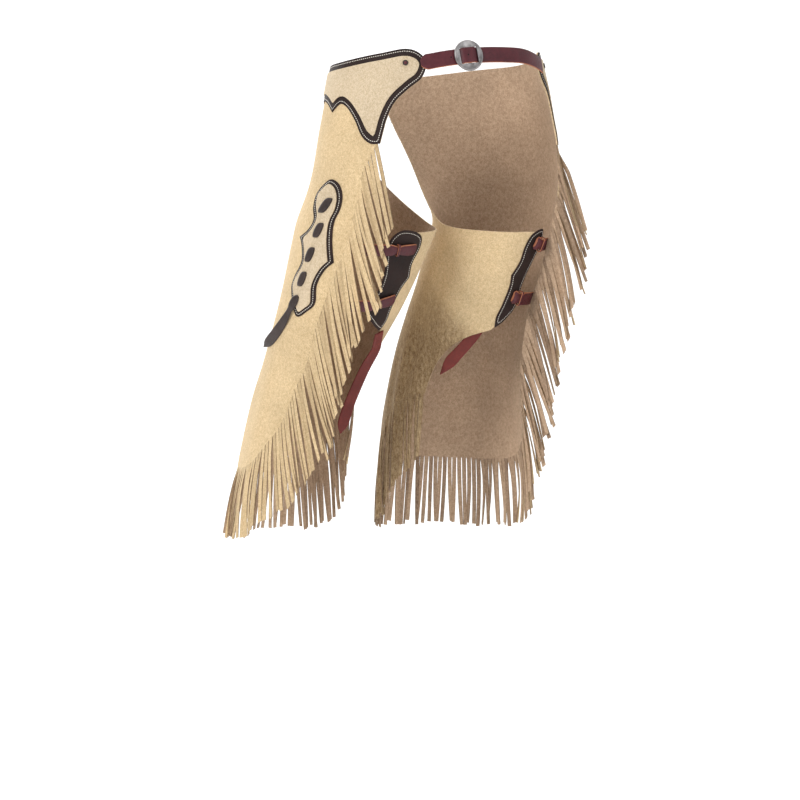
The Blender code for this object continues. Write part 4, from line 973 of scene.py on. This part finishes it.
# skins: outer, inner and edge, or outer, inner, upper edge and lower edge
def strapPiece(name, path, skins, node, slot, crown=0.0002, closed=False):
    centres, ups, widths, thicknesses = path
    if closed:
        run = np.roll(centres, -1, axis=0) - np.roll(centres, 1, axis=0)
    else:
        run = np.gradient(centres, axis=0)
    run = unit(run)
    across = unit(np.cross(ups, run))
    ups = unit(np.cross(run, across))
    points = []
    for centre, side, up, width, thickness in zip(centres, across, ups, widths, thicknesses):
        w, t = 0.5 * width, 0.5 * thickness
        r = min(0.38 * thickness, 0.3 * width)
        section = (
            (-w + r, -t), (0.0, -t), (w - r, -t), (w, -t + r), (w, t - r), (w - r, t),
            (0.45 * w, t + crown), (-0.45 * w, t + crown), (-w + r, t), (-w, t - r), (-w, -t + r),
        )
        points += [centre + a * side + b * up for a, b in section]
    size = 11
    upper, lower = (2, len(skins) - 1) if across[:, 2].mean() > 0 else (len(skins) - 1, 2)
    skinOfSide = (1, 1, upper, upper, upper, 0, 0, 0, lower, lower, lower)
    faces, skinOf = [], []
    rings = len(centres)
    for r in range(rings if closed else rings - 1):
        a, b = size * r, size * ((r + 1) % rings)
        for k in range(size):
            n = (k + 1) % size
            faces.append((a + k, b + k, b + n, a + n))
            skinOf.append(skinOfSide[k])
    if not closed:
        faces.append(tuple(range(size)))
        faces.append(tuple(reversed(range(size * (rings - 1), size * rings))))
        skinOf += [2, 2]
    return addPiece(name, points, faces, skins, skinOf, node, slot)


print("tools ready")

# Leg panels, trims, badges and plates
panelWork = {"spacing": 0.0060}
trimWork = {
    "spacing": 0.005,
    "rounded": ((0.0, 0.55), (0.0006, 0.92), (0.0016, 1.0)),
    "yokeMargin": 0.010,
    "badgeMargin": 0.0065,
    "stitchIn": 0.0034,
    "plateStitchIn": 0.0036,
    "stitchSunk": 0.0001,
}
laceWork = {
    "places": ((110.0, -0.2070), (114.0, -0.2400), (112.8, -0.2730), (111.5, -0.3060)),
    "halfWidth": 0.0058,
    "halfLength": 0.0100,
    "squareness": 0.46,  # 1 is an ellipse
    "slant": 0.10,
    "thickness": 0.0028,
    "rounded": ((0.0, 0.30), (0.0007, 0.70), (0.0018, 0.95), (0.0034, 1.05)),
}


def makeLegLeather(side):
    loops = legLoops(side)
    panel = wallPiece(
        f"panel_suede_{side}", side, loops["panel"], 0.0, suede, panelWork["spacing"],
        ["suede", "inside", "suedeEdge"], f"panel_{side}", "suede",
    )
    backFringe = fringePiece(
        f"fringe_back_strands_{side}", side, loops["back"], fringeCut["backHang"][side],
        fringeCut["back"][side], f"fringe_back_{side}", 11,
    )
    hemFringe = fringePiece(
        f"fringe_hem_strands_{side}", side, loops["hem"], fringeCut["hemHang"][side],
        fringeCut["hem"][side], f"fringe_hem_{side}", 23,
    )
    flatArea(loops["panel"])
    trim = loops["trim"]
    overlay = insetLoop(trim, trimWork["yokeMargin"], 0.003)
    leathers = (
        ("yoke_trim", trim, "trim", "dark", "darkEdge", "dark_leather"),
        ("yoke_overlay", overlay, "overlay", "cream", "suedeEdge", "cream_leather"),
        ("badge_base", loops["badge"], "trim", "dark", "darkEdge", "dark_leather"),
        ("badge_overlay", insetLoop(loops["badge"], trimWork["badgeMargin"], 0.002), "overlay", "cream",
         "suedeEdge", "cream_leather"),
        ("plate", loops["plate"], "trim", "dark", "darkEdge", "dark_leather"),
    )
    for label, loop, level, skin, edgeSkin, slot in leathers:
        wallPiece(
            f"{label}_leather_{side}", side, loop, levels[level], trimLeather, trimWork["spacing"],
            [skin, skin, edgeSkin], f"{label}_{side}", slot, trimWork["rounded"],
        )
    top = levels["trim"] + trimLeather - trimWork["stitchSunk"]
    for label, loop, margin in (
        ("yoke", trim, trimWork["stitchIn"]),
        ("badge", loops["badge"], trimWork["stitchIn"]),
        ("plate", loops["plate"], trimWork["plateStitchIn"]),
    ):
        stitchPiece(f"{label}_stitches_{side}", [legLine(side, insetLoop(loop, margin, 0.001), top)])
    for number, (turn, height) in enumerate(laceWork["places"], 1):
        ring = np.linspace(0, 2 * math.pi, 28, endpoint=False)
        reach = laceWork["halfLength"] * np.sign(np.sin(ring)) * np.abs(np.sin(ring)) ** laceWork["squareness"]
        bulge = 0.80 + 0.20 * np.cos(0.5 * math.pi * reach / laceWork["halfLength"])
        halfWidth = laceWork["halfWidth"] * (1.18 if number == 1 else 1.0)
        wide = halfWidth * bulge * np.sign(np.cos(ring)) * np.abs(np.cos(ring)) ** laceWork["squareness"]
        oval = np.stack([turn * clothPerDegree + wide + laceWork["slant"] * reach, height + reach], 1)
        wallPiece(
            f"lace_loop_{number}_{side}", side, oval, levels["lace"], laceWork["thickness"], 0.0018,
            ["lace", "lace", "lace"], f"badge_lace_{number}_{side}", "dark_leather", laceWork["rounded"],
        )


for legSide in hands:
    makeLegLeather(legSide)
    print("leg leather ready:", legSide)

# Knot and tail of the badge lace: turn, height, out, width, thickness, turn that the outer face looks towards
laceTail = (
    (112.0, -0.3290, 0.0062, 0.0050, 0.0020, 112),
    (110.5, -0.3345, 0.0070, 0.0125, 0.0034, 113),
    (108.5, -0.3420, 0.0072, 0.0125, 0.0034, 115),
    (106.5, -0.3500, 0.0066, 0.0090, 0.0022, 118),
    (101.5, -0.3660, 0.0062, 0.0125, 0.0016, 124),
    (93.0, -0.3830, 0.0066, 0.0140, 0.0016, 130),
    (81.5, -0.3965, 0.0076, 0.0125, 0.0016, 134),
    (72.0, -0.4035, 0.0084, 0.0015, 0.0014, 136),
)


def legStrap(name, side, rows, steps, skins, node, slot, crown=0.0002):
    turn, height, out, width, thickness, facing = (np.array(column, float) for column in zip(*rows))
    path = strapPath(legPoint(side, turn, height, out), legOutward(side, facing, height), width, thickness, steps)
    return strapPiece(name, path, skins, node, slot, crown)


# Closures: a strap from behind the back edge, through a keeper, onto the plate
closure = {
    "heights": {
        "left": {"upper": -0.2640, "lower": -0.3370},
        "right": {"upper": -0.2585, "lower": -0.3335},
    },
    "edgeTurn": 141.0 - 360.0,
    "tuck": 8.0,
    "behind": 0.0018,
    "lift": 0.0005,
    "rise": 0.0004,
    "end": {"left": -0.50, "right": -0.10},
    "keeperAcross": {"left": 0.55, "right": 0.62},
    "keeperTurn": 4.0,
    "keeperWidth": 0.0036,
    "keeperWall": 0.0013,
    "keeperGap": 0.0004,
    "keeperLift": 0.0007,
    "keeperHalf": {"left": 0.0080, "right": 0.0100},  # half height of the standing keeper
    "width": {"left": 0.0165, "right": 0.0190},
    "pinched": {"left": 0.66, "right": 0.80},  # width of the strap inside its keeper
    "puff": {"left": 0.0006, "right": 0.0016},  # thickness that the folded strap gains on both sides of it
    "tilt": {"upperleft": 0.0, "lowerleft": 0.0050, "upperright": 0.0020, "lowerright": 0.0015},
}


def makeClosure(side, which):
    c = closure
    height = c["heights"][side][which]
    middle, half = plateMiddle(side, height), cut["platePlace"][side][1]
    plateEdge = middle - half
    end = middle - c["end"][side] * half
    keeper = middle - c["keeperAcross"][side] * half
    onPlate = levels["overlay"] + 0.5 * strapLeather + c["lift"]
    overKeeper = onPlate + c["keeperWall"] + c["keeperLift"]
    behind = float(foldDepth(side, 141.0, height)) - 0.5 * strapLeather - c["behind"]
    edge, full = c["edgeTurn"], c["width"][side]
    pinched = c["pinched"][side] * full
    puffed = strapLeather + c["puff"][side]
    rows = [
        (edge - c["tuck"], behind, full, strapLeather),
        (edge + 1.5, behind, full, strapLeather),
        (0.5 * (edge + c["keeperTurn"] + plateEdge), 0.5 * (behind + overKeeper) + c["rise"], full, strapLeather),
        (plateEdge, overKeeper + c["rise"], full, puffed),
        (keeper - c["keeperTurn"], overKeeper + 0.5 * c["rise"], 0.88 * full, puffed),
        (keeper, overKeeper, pinched, puffed),
        (keeper + c["keeperTurn"], overKeeper, 0.88 * full, puffed),
        (0.5 * (keeper + c["keeperTurn"] + end), 0.5 * (overKeeper + onPlate) + c["rise"], full, puffed),
        (end - 1.2, onPlate, 0.97 * full, strapLeather),
        (end, onPlate, 0.72 * full, strapLeather),
    ]
    tilt = c["tilt"][which + side] / (end - keeper)
    legStrap(
        f"closure_{which}_leather_{side}", side,
        [(turn, height + tilt * max(turn - keeper, plateEdge - keeper), out, width, thickness, turn)
         for turn, out, width, thickness in rows],
        5, ["burgundy", "tail", "rawEdge", "burgundy"], f"closure_strap_{which}_{side}", "burgundy_leather",
        0.0004 + 0.5 * c["puff"][side],
    )
    centre = legPoint(side, np.array([keeper - 1, keeper, keeper + 1]), np.full(3, height), np.full(3, overKeeper))
    up = legOutward(side, np.array(keeper), np.array(height))
    run = unit(centre[2] - centre[0])
    across = unit(np.cross(up, run))
    run = unit(np.cross(across, up))
    ringWidth = c["keeperHalf"][side]
    ringHeight = 0.5 * puffed + c["keeperGap"] + 0.5 * c["keeperWall"] + 0.4 * c["puff"][side]
    turns = np.linspace(0, 2 * math.pi, 40, endpoint=False)
    rounding = 0.42  # a flattened ring: 1 would be an ellipse, 0 a box
    a = ringWidth * np.sign(np.cos(turns)) * np.abs(np.cos(turns)) ** rounding
    b = ringHeight * np.sign(np.sin(turns)) * np.abs(np.sin(turns)) ** rounding
    ring = centre[1] + a[:, None] * across + b[:, None] * up
    facing = unit((a / ringWidth)[:, None] * across * 0.6 + (b / ringHeight)[:, None] * up)
    count = len(turns)
    path = ring, facing, np.full(count, c["keeperWidth"]), np.full(count, c["keeperWall"])
    strapPiece(
        f"closure_{which}_ring_{side}", path, ["burgundy", "tail", "rawEdge"],
        f"closure_keeper_{which}_{side}", "burgundy_leather", 0.0002, closed=True,
    )


# Free tails of the lower closures: turn, height, out, turn that the outer face looks towards
tails = {
    "left": (
        (-156, -0.3785, 0.0036, -158), (-150, -0.3915, 0.0036, -164), (-140, -0.4060, 0.0020, -174),
        (-136, -0.4340, 0.0000, -182), (-138, -0.4780, -0.0010, -186), (-143, -0.5080, -0.0010, -186),
        (-145, -0.5220, -0.0010, -186),
    ),
    "right": (
        (-172, -0.3690, -0.0036, -172), (-165, -0.3860, -0.0030, -165), (-158, -0.4005, -0.0028, -158),
        (-151, -0.4140, -0.0028, -151), (-145, -0.4260, -0.0032, -145), (-138, -0.4420, -0.0036, -138),
    ),
    "width": 0.016,
    "tip": 0.0015,
}


def makeTail(side):
    turn, height, out, facing = (np.array(column, float) for column in zip(*tails[side]))
    widths = [tails["width"]] * (len(turn) - 1) + [tails["tip"]]
    path = strapPath(
        legPoint(side, turn, height, out), legOutward(side, facing, height), widths,
        [strapLeather] * len(turn), 5,
    )
    strapPiece(
        f"closure_tail_leather_{side}", path, ["tail", "tail", "tail"], f"closure_tail_{side}",
        "burgundy_leather",
    )


rivetWork = {  # turn, height, then radius and height of each ring of the cap
    "place": (155.0, -0.0165),
    "gap": 0.0002,
    "rings": ((0.0037, 0.0), (0.0039, 0.0003), (0.0038, 0.0008), (0.0033, 0.0011), (0.0026, 0.0009),
              (0.0022, 0.0006), (0.0017, 0.0007), (0.0009, 0.0010)),
    "sides": 32,
}


def turnedPiece(name, centre, across, up, out, rings, sides, skins, skinAt, node, slot):
    points = [
        centre + radius * (math.cos(a) * across + math.sin(a) * up) + lift * out
        for radius, lift in rings
        for a in np.linspace(0, 2 * math.pi, sides, endpoint=False)
    ]
    faces = [tuple(reversed(range(sides)))]
    skinOf = [0]
    for r in range(len(rings) - 1):
        for k in range(sides):
            n = (k + 1) % sides
            faces.append((r * sides + k, r * sides + n, (r + 1) * sides + n, (r + 1) * sides + k))
            skinOf.append(skinAt(r))
    faces.append(tuple(range((len(rings) - 1) * sides, len(rings) * sides)))
    skinOf.append(skinAt(len(rings) - 1))
    return addPiece(name, points, faces, skins, skinOf, node, slot)


def makeRivet(side):
    turn, height = (np.array(x) for x in rivetWork["place"])
    out = legOutward(side, turn, height)
    up = unit(np.array([0.0, 0.0, 1.0]) - out[2] * out)
    across = np.cross(up, out)
    base = legPoint(side, turn, height, levels["lace"] + rivetWork["gap"])
    turnedPiece(
        f"yoke_rivet_cap_{side}", base, across, up, out, rivetWork["rings"], rivetWork["sides"],
        ["lace", "burgundy"], lambda ring: 1 if ring >= 5 else 0, f"yoke_rivet_{side}", "dark_leather",
    )


for legSide in hands:
    legStrap(
        f"lace_tail_leather_{legSide}", legSide, laceTail, 6, ["lace", "lace", "lace"],
        f"badge_lace_tail_{legSide}", "dark_leather", 0.0003,
    )
    for strap in closure["heights"][legSide]:
        makeClosure(legSide, strap)
    makeTail(legSide)
    makeRivet(legSide)
print("straps, keepers and rivets ready")

# Waist belt and buckle
belt = {
    "line": (  # angle from the front towards the left leg, height
        (140.0, -0.0200), (150.0, -0.0158), (160.0, -0.0110), (170.0, -0.0074), (180.0, -0.0052),
        (195.0, -0.0042), (210.0, -0.0052), (222.0, -0.0104), (236.0, -0.0194),
    ),
    "ends": (147.6, 232.4),
    "perDegree": 0.00257,
    "width": 0.0215,
    "level": levels["overlay"] + 0.0003 + 0.5 * strapLeather,
    "roundEnd": 0.0085,
    "overBar": (  # distance from the middle of the buckle, height of the strap's middle
        (-0.0119, 0.0052), (-0.0110, 0.0066), (-0.0082, 0.0089), (-0.0050, 0.0100), (0.0000, 0.0102),
        (0.0050, 0.0100), (0.0082, 0.0089), (0.0118, 0.0056), (0.0160, 0.0051),
    ),
}
buckle = {
    "angle": 173.0,
    "toStrap": 0.0140,
    "level": 0.0070,
    "radius": 0.0212,
    "window": (0.0130, 0.0110),  # half width, half height
    "bar": 0.0025,
    "barWall": 0.0010,
    "wall": 0.0022,
    "dome": 0.0008,
    "rim": ((1.00, 0.30), (0.985, 0.72), (0.96, 0.98), (0.92, 1.06), (0.87, 0.92), (0.82, 0.80), (0.0, 0.80)),
}


def beltPath(rows, steps, thickness=strapLeather):
    angle, out, width = (np.array(column, float) for column in zip(*rows))
    height = throughRows(belt["line"], angle)[0]
    centres = waistPoint(angle, height, out)
    return strapPath(centres, waistOutward(angle, height), width, [thickness] * len(angle), steps)


def makeBelt():
    skins = ["burgundy", "burgundy", "burgundy", "rawEdge"]
    start, full = belt["ends"][0], belt["width"]
    rows = []
    for share in (0.0, 0.1, 0.3, 0.6, 1.0):  # rounded end
        reach = share * belt["roundEnd"]
        rows.append((start + reach / belt["perDegree"], belt["level"], full * (0.30 + 0.70 * share**0.5)))
    start = rows[-1][0]
    end = buckle["angle"] - buckle["toStrap"] / belt["perDegree"]
    rows += [(start + (end - start) * k / 6, belt["level"], full) for k in range(1, 7)]
    strapPiece("belt_left_strap", beltPath(rows, 4), skins, "belt_left", "burgundy_leather")
    rows = [(buckle["angle"] + reach / belt["perDegree"], out, full) for reach, out in belt["overBar"]]
    start = rows[-1][0]
    rows += [(start + (belt["ends"][1] - start) * k / 12, belt["level"], full) for k in range(1, 13)]
    strapPiece("belt_right_strap", beltPath(rows, 4), skins, "belt_right", "burgundy_leather")


def makeHole(name, angle, out, drop, radius):  # a punched hole, shown by a dark disc of painted shade for its inside
    height = throughRows(belt["line"], np.array(angle))[0]
    facing = waistOutward(np.array(angle), height)
    up = unit(np.array([0.0, 0.0, 1.0]) - facing[2] * facing)
    centre = waistPoint(np.array(angle), height, out) + drop * up
    turnedPiece(
        name, centre, np.cross(up, facing), up, facing,
        ((radius, -0.0002), (radius, 0.00022), (0.8 * radius, 0.00030)), 24, ["hole"], lambda ring: 0, None,
        "burgundy_leather",
    )


def makeBuckle():
    angle = np.array(buckle["angle"])
    height = throughRows(belt["line"], angle)[0]
    out = waistOutward(angle, height)
    centre = waistPoint(angle, height, buckle["level"])
    side = np.array([buckle["angle"] - 4, buckle["angle"] + 4])
    line = waistPoint(side, throughRows(belt["line"], side)[0], np.zeros(2))
    along = unit(line[1] - line[0])
    up = unit(np.cross(out, along))
    ring = np.linspace(0, 2 * math.pi, 72, endpoint=False)
    circle = np.stack([np.cos(ring), np.sin(ring)], 1)
    loops = [buckle["radius"] * share * circle for share, height in buckle["rim"][:-1]]
    halfWidth, halfHeight = buckle["window"]
    slots = []
    for low, high in ((-halfWidth, -buckle["bar"]), (buckle["bar"], halfWidth)):
        box = np.array([(low, -halfHeight), (high, -halfHeight), (high, halfHeight), (low, halfHeight)])
        slots.append(np.concatenate([np.linspace(box[k], box[(k + 1) % 4], 8)[:-1] for k in range(4)]))
    corners, edges = [], []
    for loop in loops + slots:
        first = len(corners)
        corners += [Vector(point) for point in loop]
        edges += [(first + k, first + (k + 1) % len(loop)) for k in range(len(loop))]
    net = delaunay_2d_cdt(corners, edges, [], 0, 1e-7, False)
    flat = np.array([tuple(point) for point in net[0]])
    triangles = np.array(net[2])
    a, b, c = (flat[triangles[:, k]] for k in range(3))
    turned = (b[:, 0] - a[:, 0]) * (c[:, 1] - a[:, 1]) - (b[:, 1] - a[:, 1]) * (c[:, 0] - a[:, 0])
    triangles[turned < 0] = triangles[turned < 0][:, ::-1]
    middles = (a + b + c) / 3
    keep = (np.abs(turned) > 1e-12) & insideLoop(middles, loops[0])
    for slot in slots:
        keep &= ~insideLoop(middles, slot)
    triangles = triangles[keep]
    share = np.linalg.norm(flat, axis=1) / buckle["radius"]
    reach, rise = zip(*buckle["rim"][::-1])
    wall = buckle["wall"] * np.interp(share, reach, rise)
    dome = buckle["dome"] * (1 - share**2)
    onBar = np.abs(flat[:, 0]) < buckle["bar"] + 1e-6
    wall[onBar & (np.abs(flat[:, 1]) <= halfHeight)] = buckle["barWall"]
    base = centre + flat[:, :1] * along + flat[:, 1:] * up
    points = np.concatenate([base + dome[:, None] * out, base + (dome + wall)[:, None] * out])
    count = len(flat)
    faces = [tuple(t + count) for t in triangles] + [tuple(t[::-1]) for t in triangles]
    edgesSeen = {(int(t[k]), int(t[(k + 1) % 3])) for t in triangles for k in range(3)}
    for first, second in sorted(edgesSeen):
        if (second, first) not in edgesSeen:
            faces.append((first, second, second + count, first + count))
    if np.dot(np.cross(along, up), out) < 0:
        faces = [face[::-1] for face in faces]
    addPiece("buckle_plate", points, faces, ["steel"], [0] * len(faces), "buckle", "brushed_steel")


# Front tie between the yokes: angle from the front, out, width, thickness
frontTie = {
    "height": -0.056,
    "rows": (
        (-4.5, 0.0068, 0.0070, 0.0018), (2.5, 0.0068, 0.0080, 0.0020), (6.5, 0.0076, 0.0080, 0.0024),
        (8.5, 0.0080, 0.0120, 0.0050), (11.5, 0.0080, 0.0120, 0.0050), (13.5, 0.0076, 0.0080, 0.0024),
        (17.5, 0.0068, 0.0080, 0.0020), (24.5, 0.0068, 0.0070, 0.0018),
    ),
}


def makeFrontTie():
    angle, out, width, thickness = (np.array(column, float) for column in zip(*frontTie["rows"]))
    height = np.full(len(angle), frontTie["height"])
    path = strapPath(waistPoint(angle, height, out), waistOutward(angle, height), width, thickness, 5)
    strapPiece("front_tie_leather", path, ["burgundy", "tail", "rawEdge"], "front_tie", "burgundy_leather")


makeBelt()
makeHole("belt_hole_window", 172.2, 0.0102 + 0.5 * strapLeather + 0.0002, 0.0004, 0.0011)
makeHole("belt_hole_left", 163.6, belt["level"] + 0.5 * strapLeather + 0.0002, 0.0003, 0.0010)
makeBuckle()
makeFrontTie()
print("belt and buckle ready")

# Floor, light and camera
studio = {
    "floor": -1.03,
    "floorTone": (0.93, 0.93, 0.93),
    "paperGlow": 0.25,
    "lights": (  # name, place, size, power, colour
        ("key", (4.6, 2.2, 2.1), 2.0, 150.0, (1.0, 0.985, 0.97)),
        ("fill", (-2.2, 4.2, 0.9), 2.4, 30.0, (0.96, 0.98, 1.0)),
        ("front", (0.6, -4.2, 1.6), 3.0, 70.0, (1.0, 1.0, 1.0)),
        ("top", (0.0, 0.3, 3.2), 2.6, 45.0, (1.0, 1.0, 1.0)),
    ),
    "target": (0.0, 0.0, -0.30),
    "world": 0.46,
}
viewpoint = {"azimuth": 151.0, "distance": 5.0, "height": -0.16, "scale": 0.00138, "axis": (437.0, 55.0)}


def makeStudio():
    profile = [(-7.0, studio["floor"]), (3.0, studio["floor"])]
    for k in range(1, 13):
        a = math.radians(90 * k / 12)
        profile.append((3.0 + 1.4 * math.sin(a), studio["floor"] + 1.4 * (1 - math.cos(a))))
    profile.append((4.4, 5.0))
    azimuth = math.radians(viewpoint["azimuth"])
    into = np.array([-math.sin(azimuth), math.cos(azimuth), 0.0])  # away from the camera
    right = np.array([into[1], -into[0], 0.0])
    points = [into * reach + right * x + np.array([0, 0, z]) for x in (-7.0, 7.0) for reach, z in profile]
    count = len(profile)
    faces = [(k, count + k, count + k + 1, k + 1) for k in range(count - 1)]
    mesh = bpy.data.meshes.new("sweep")
    mesh.from_pydata([tuple(point) for point in points], [], faces)
    mesh.shade_smooth()
    paper, nodes, links, shader, place = newMaterial("palePaper")
    tone = addRamp(
        nodes, links, addNoise(nodes, links, place, 3.0), ((0.3, studio["floorTone"]), (0.7, (0.95, 0.95, 0.95)))
    )
    links.new(tone, shader.inputs["Base Color"])
    shader.inputs["Roughness"].default_value = 0.9
    shader.inputs["Emission Color"].default_value = (1.0, 1.0, 1.0, 1.0)
    shader.inputs["Emission Strength"].default_value = studio["paperGlow"]
    mesh.materials.append(paper)
    sweep = bpy.data.objects.new("sweep", mesh)
    bpy.context.scene.collection.objects.link(sweep)
    for name, place, size, power, colour in studio["lights"]:
        lamp = bpy.data.lights.new(name, "AREA")
        lamp.shape = "DISK"
        lamp.size, lamp.energy, lamp.color = size, power, colour
        light = bpy.data.objects.new(name, lamp)
        light.location = place
        aim = Vector(studio["target"]) - Vector(place)
        light.rotation_euler = aim.to_track_quat("-Z", "Y").to_euler()
        bpy.context.scene.collection.objects.link(light)
    world = bpy.data.worlds.new("studioWorld")
    world.use_nodes = True
    background = world.node_tree.nodes["Background"]
    background.inputs["Color"].default_value = (1.0, 1.0, 1.0, 1.0)
    background.inputs["Strength"].default_value = studio["world"]
    bpy.context.scene.world = world


def makeCamera():
    azimuth = math.radians(viewpoint["azimuth"])
    back = Vector((math.sin(azimuth), -math.cos(azimuth), 0.0))
    right = (-back).cross(Vector((0, 0, 1)))
    scale, (axisX, beltY) = viewpoint["scale"], viewpoint["axis"]
    aside = right * (400 - axisX) * scale  # the picture's middle lies beside the waist's middle
    target = aside + Vector((0, 0, -(400 - beltY) * scale))
    lens = bpy.data.cameras.new("camera")
    lens.sensor_width = 36.0
    lens.lens = 36.0 * viewpoint["distance"] / (800 * scale)
    camera = bpy.data.objects.new("camera", lens)
    camera.location = aside + back * viewpoint["distance"] + Vector((0, 0, viewpoint["height"]))
    camera.rotation_mode = "QUATERNION"
    camera.rotation_quaternion = (target - camera.location).to_track_quat("-Z", "Y")
    bpy.context.scene.collection.objects.link(camera)
    bpy.context.scene.camera = camera


makeStudio()
makeCamera()
bpy.context.scene.view_settings.view_transform = "Standard"
print("studio ready")
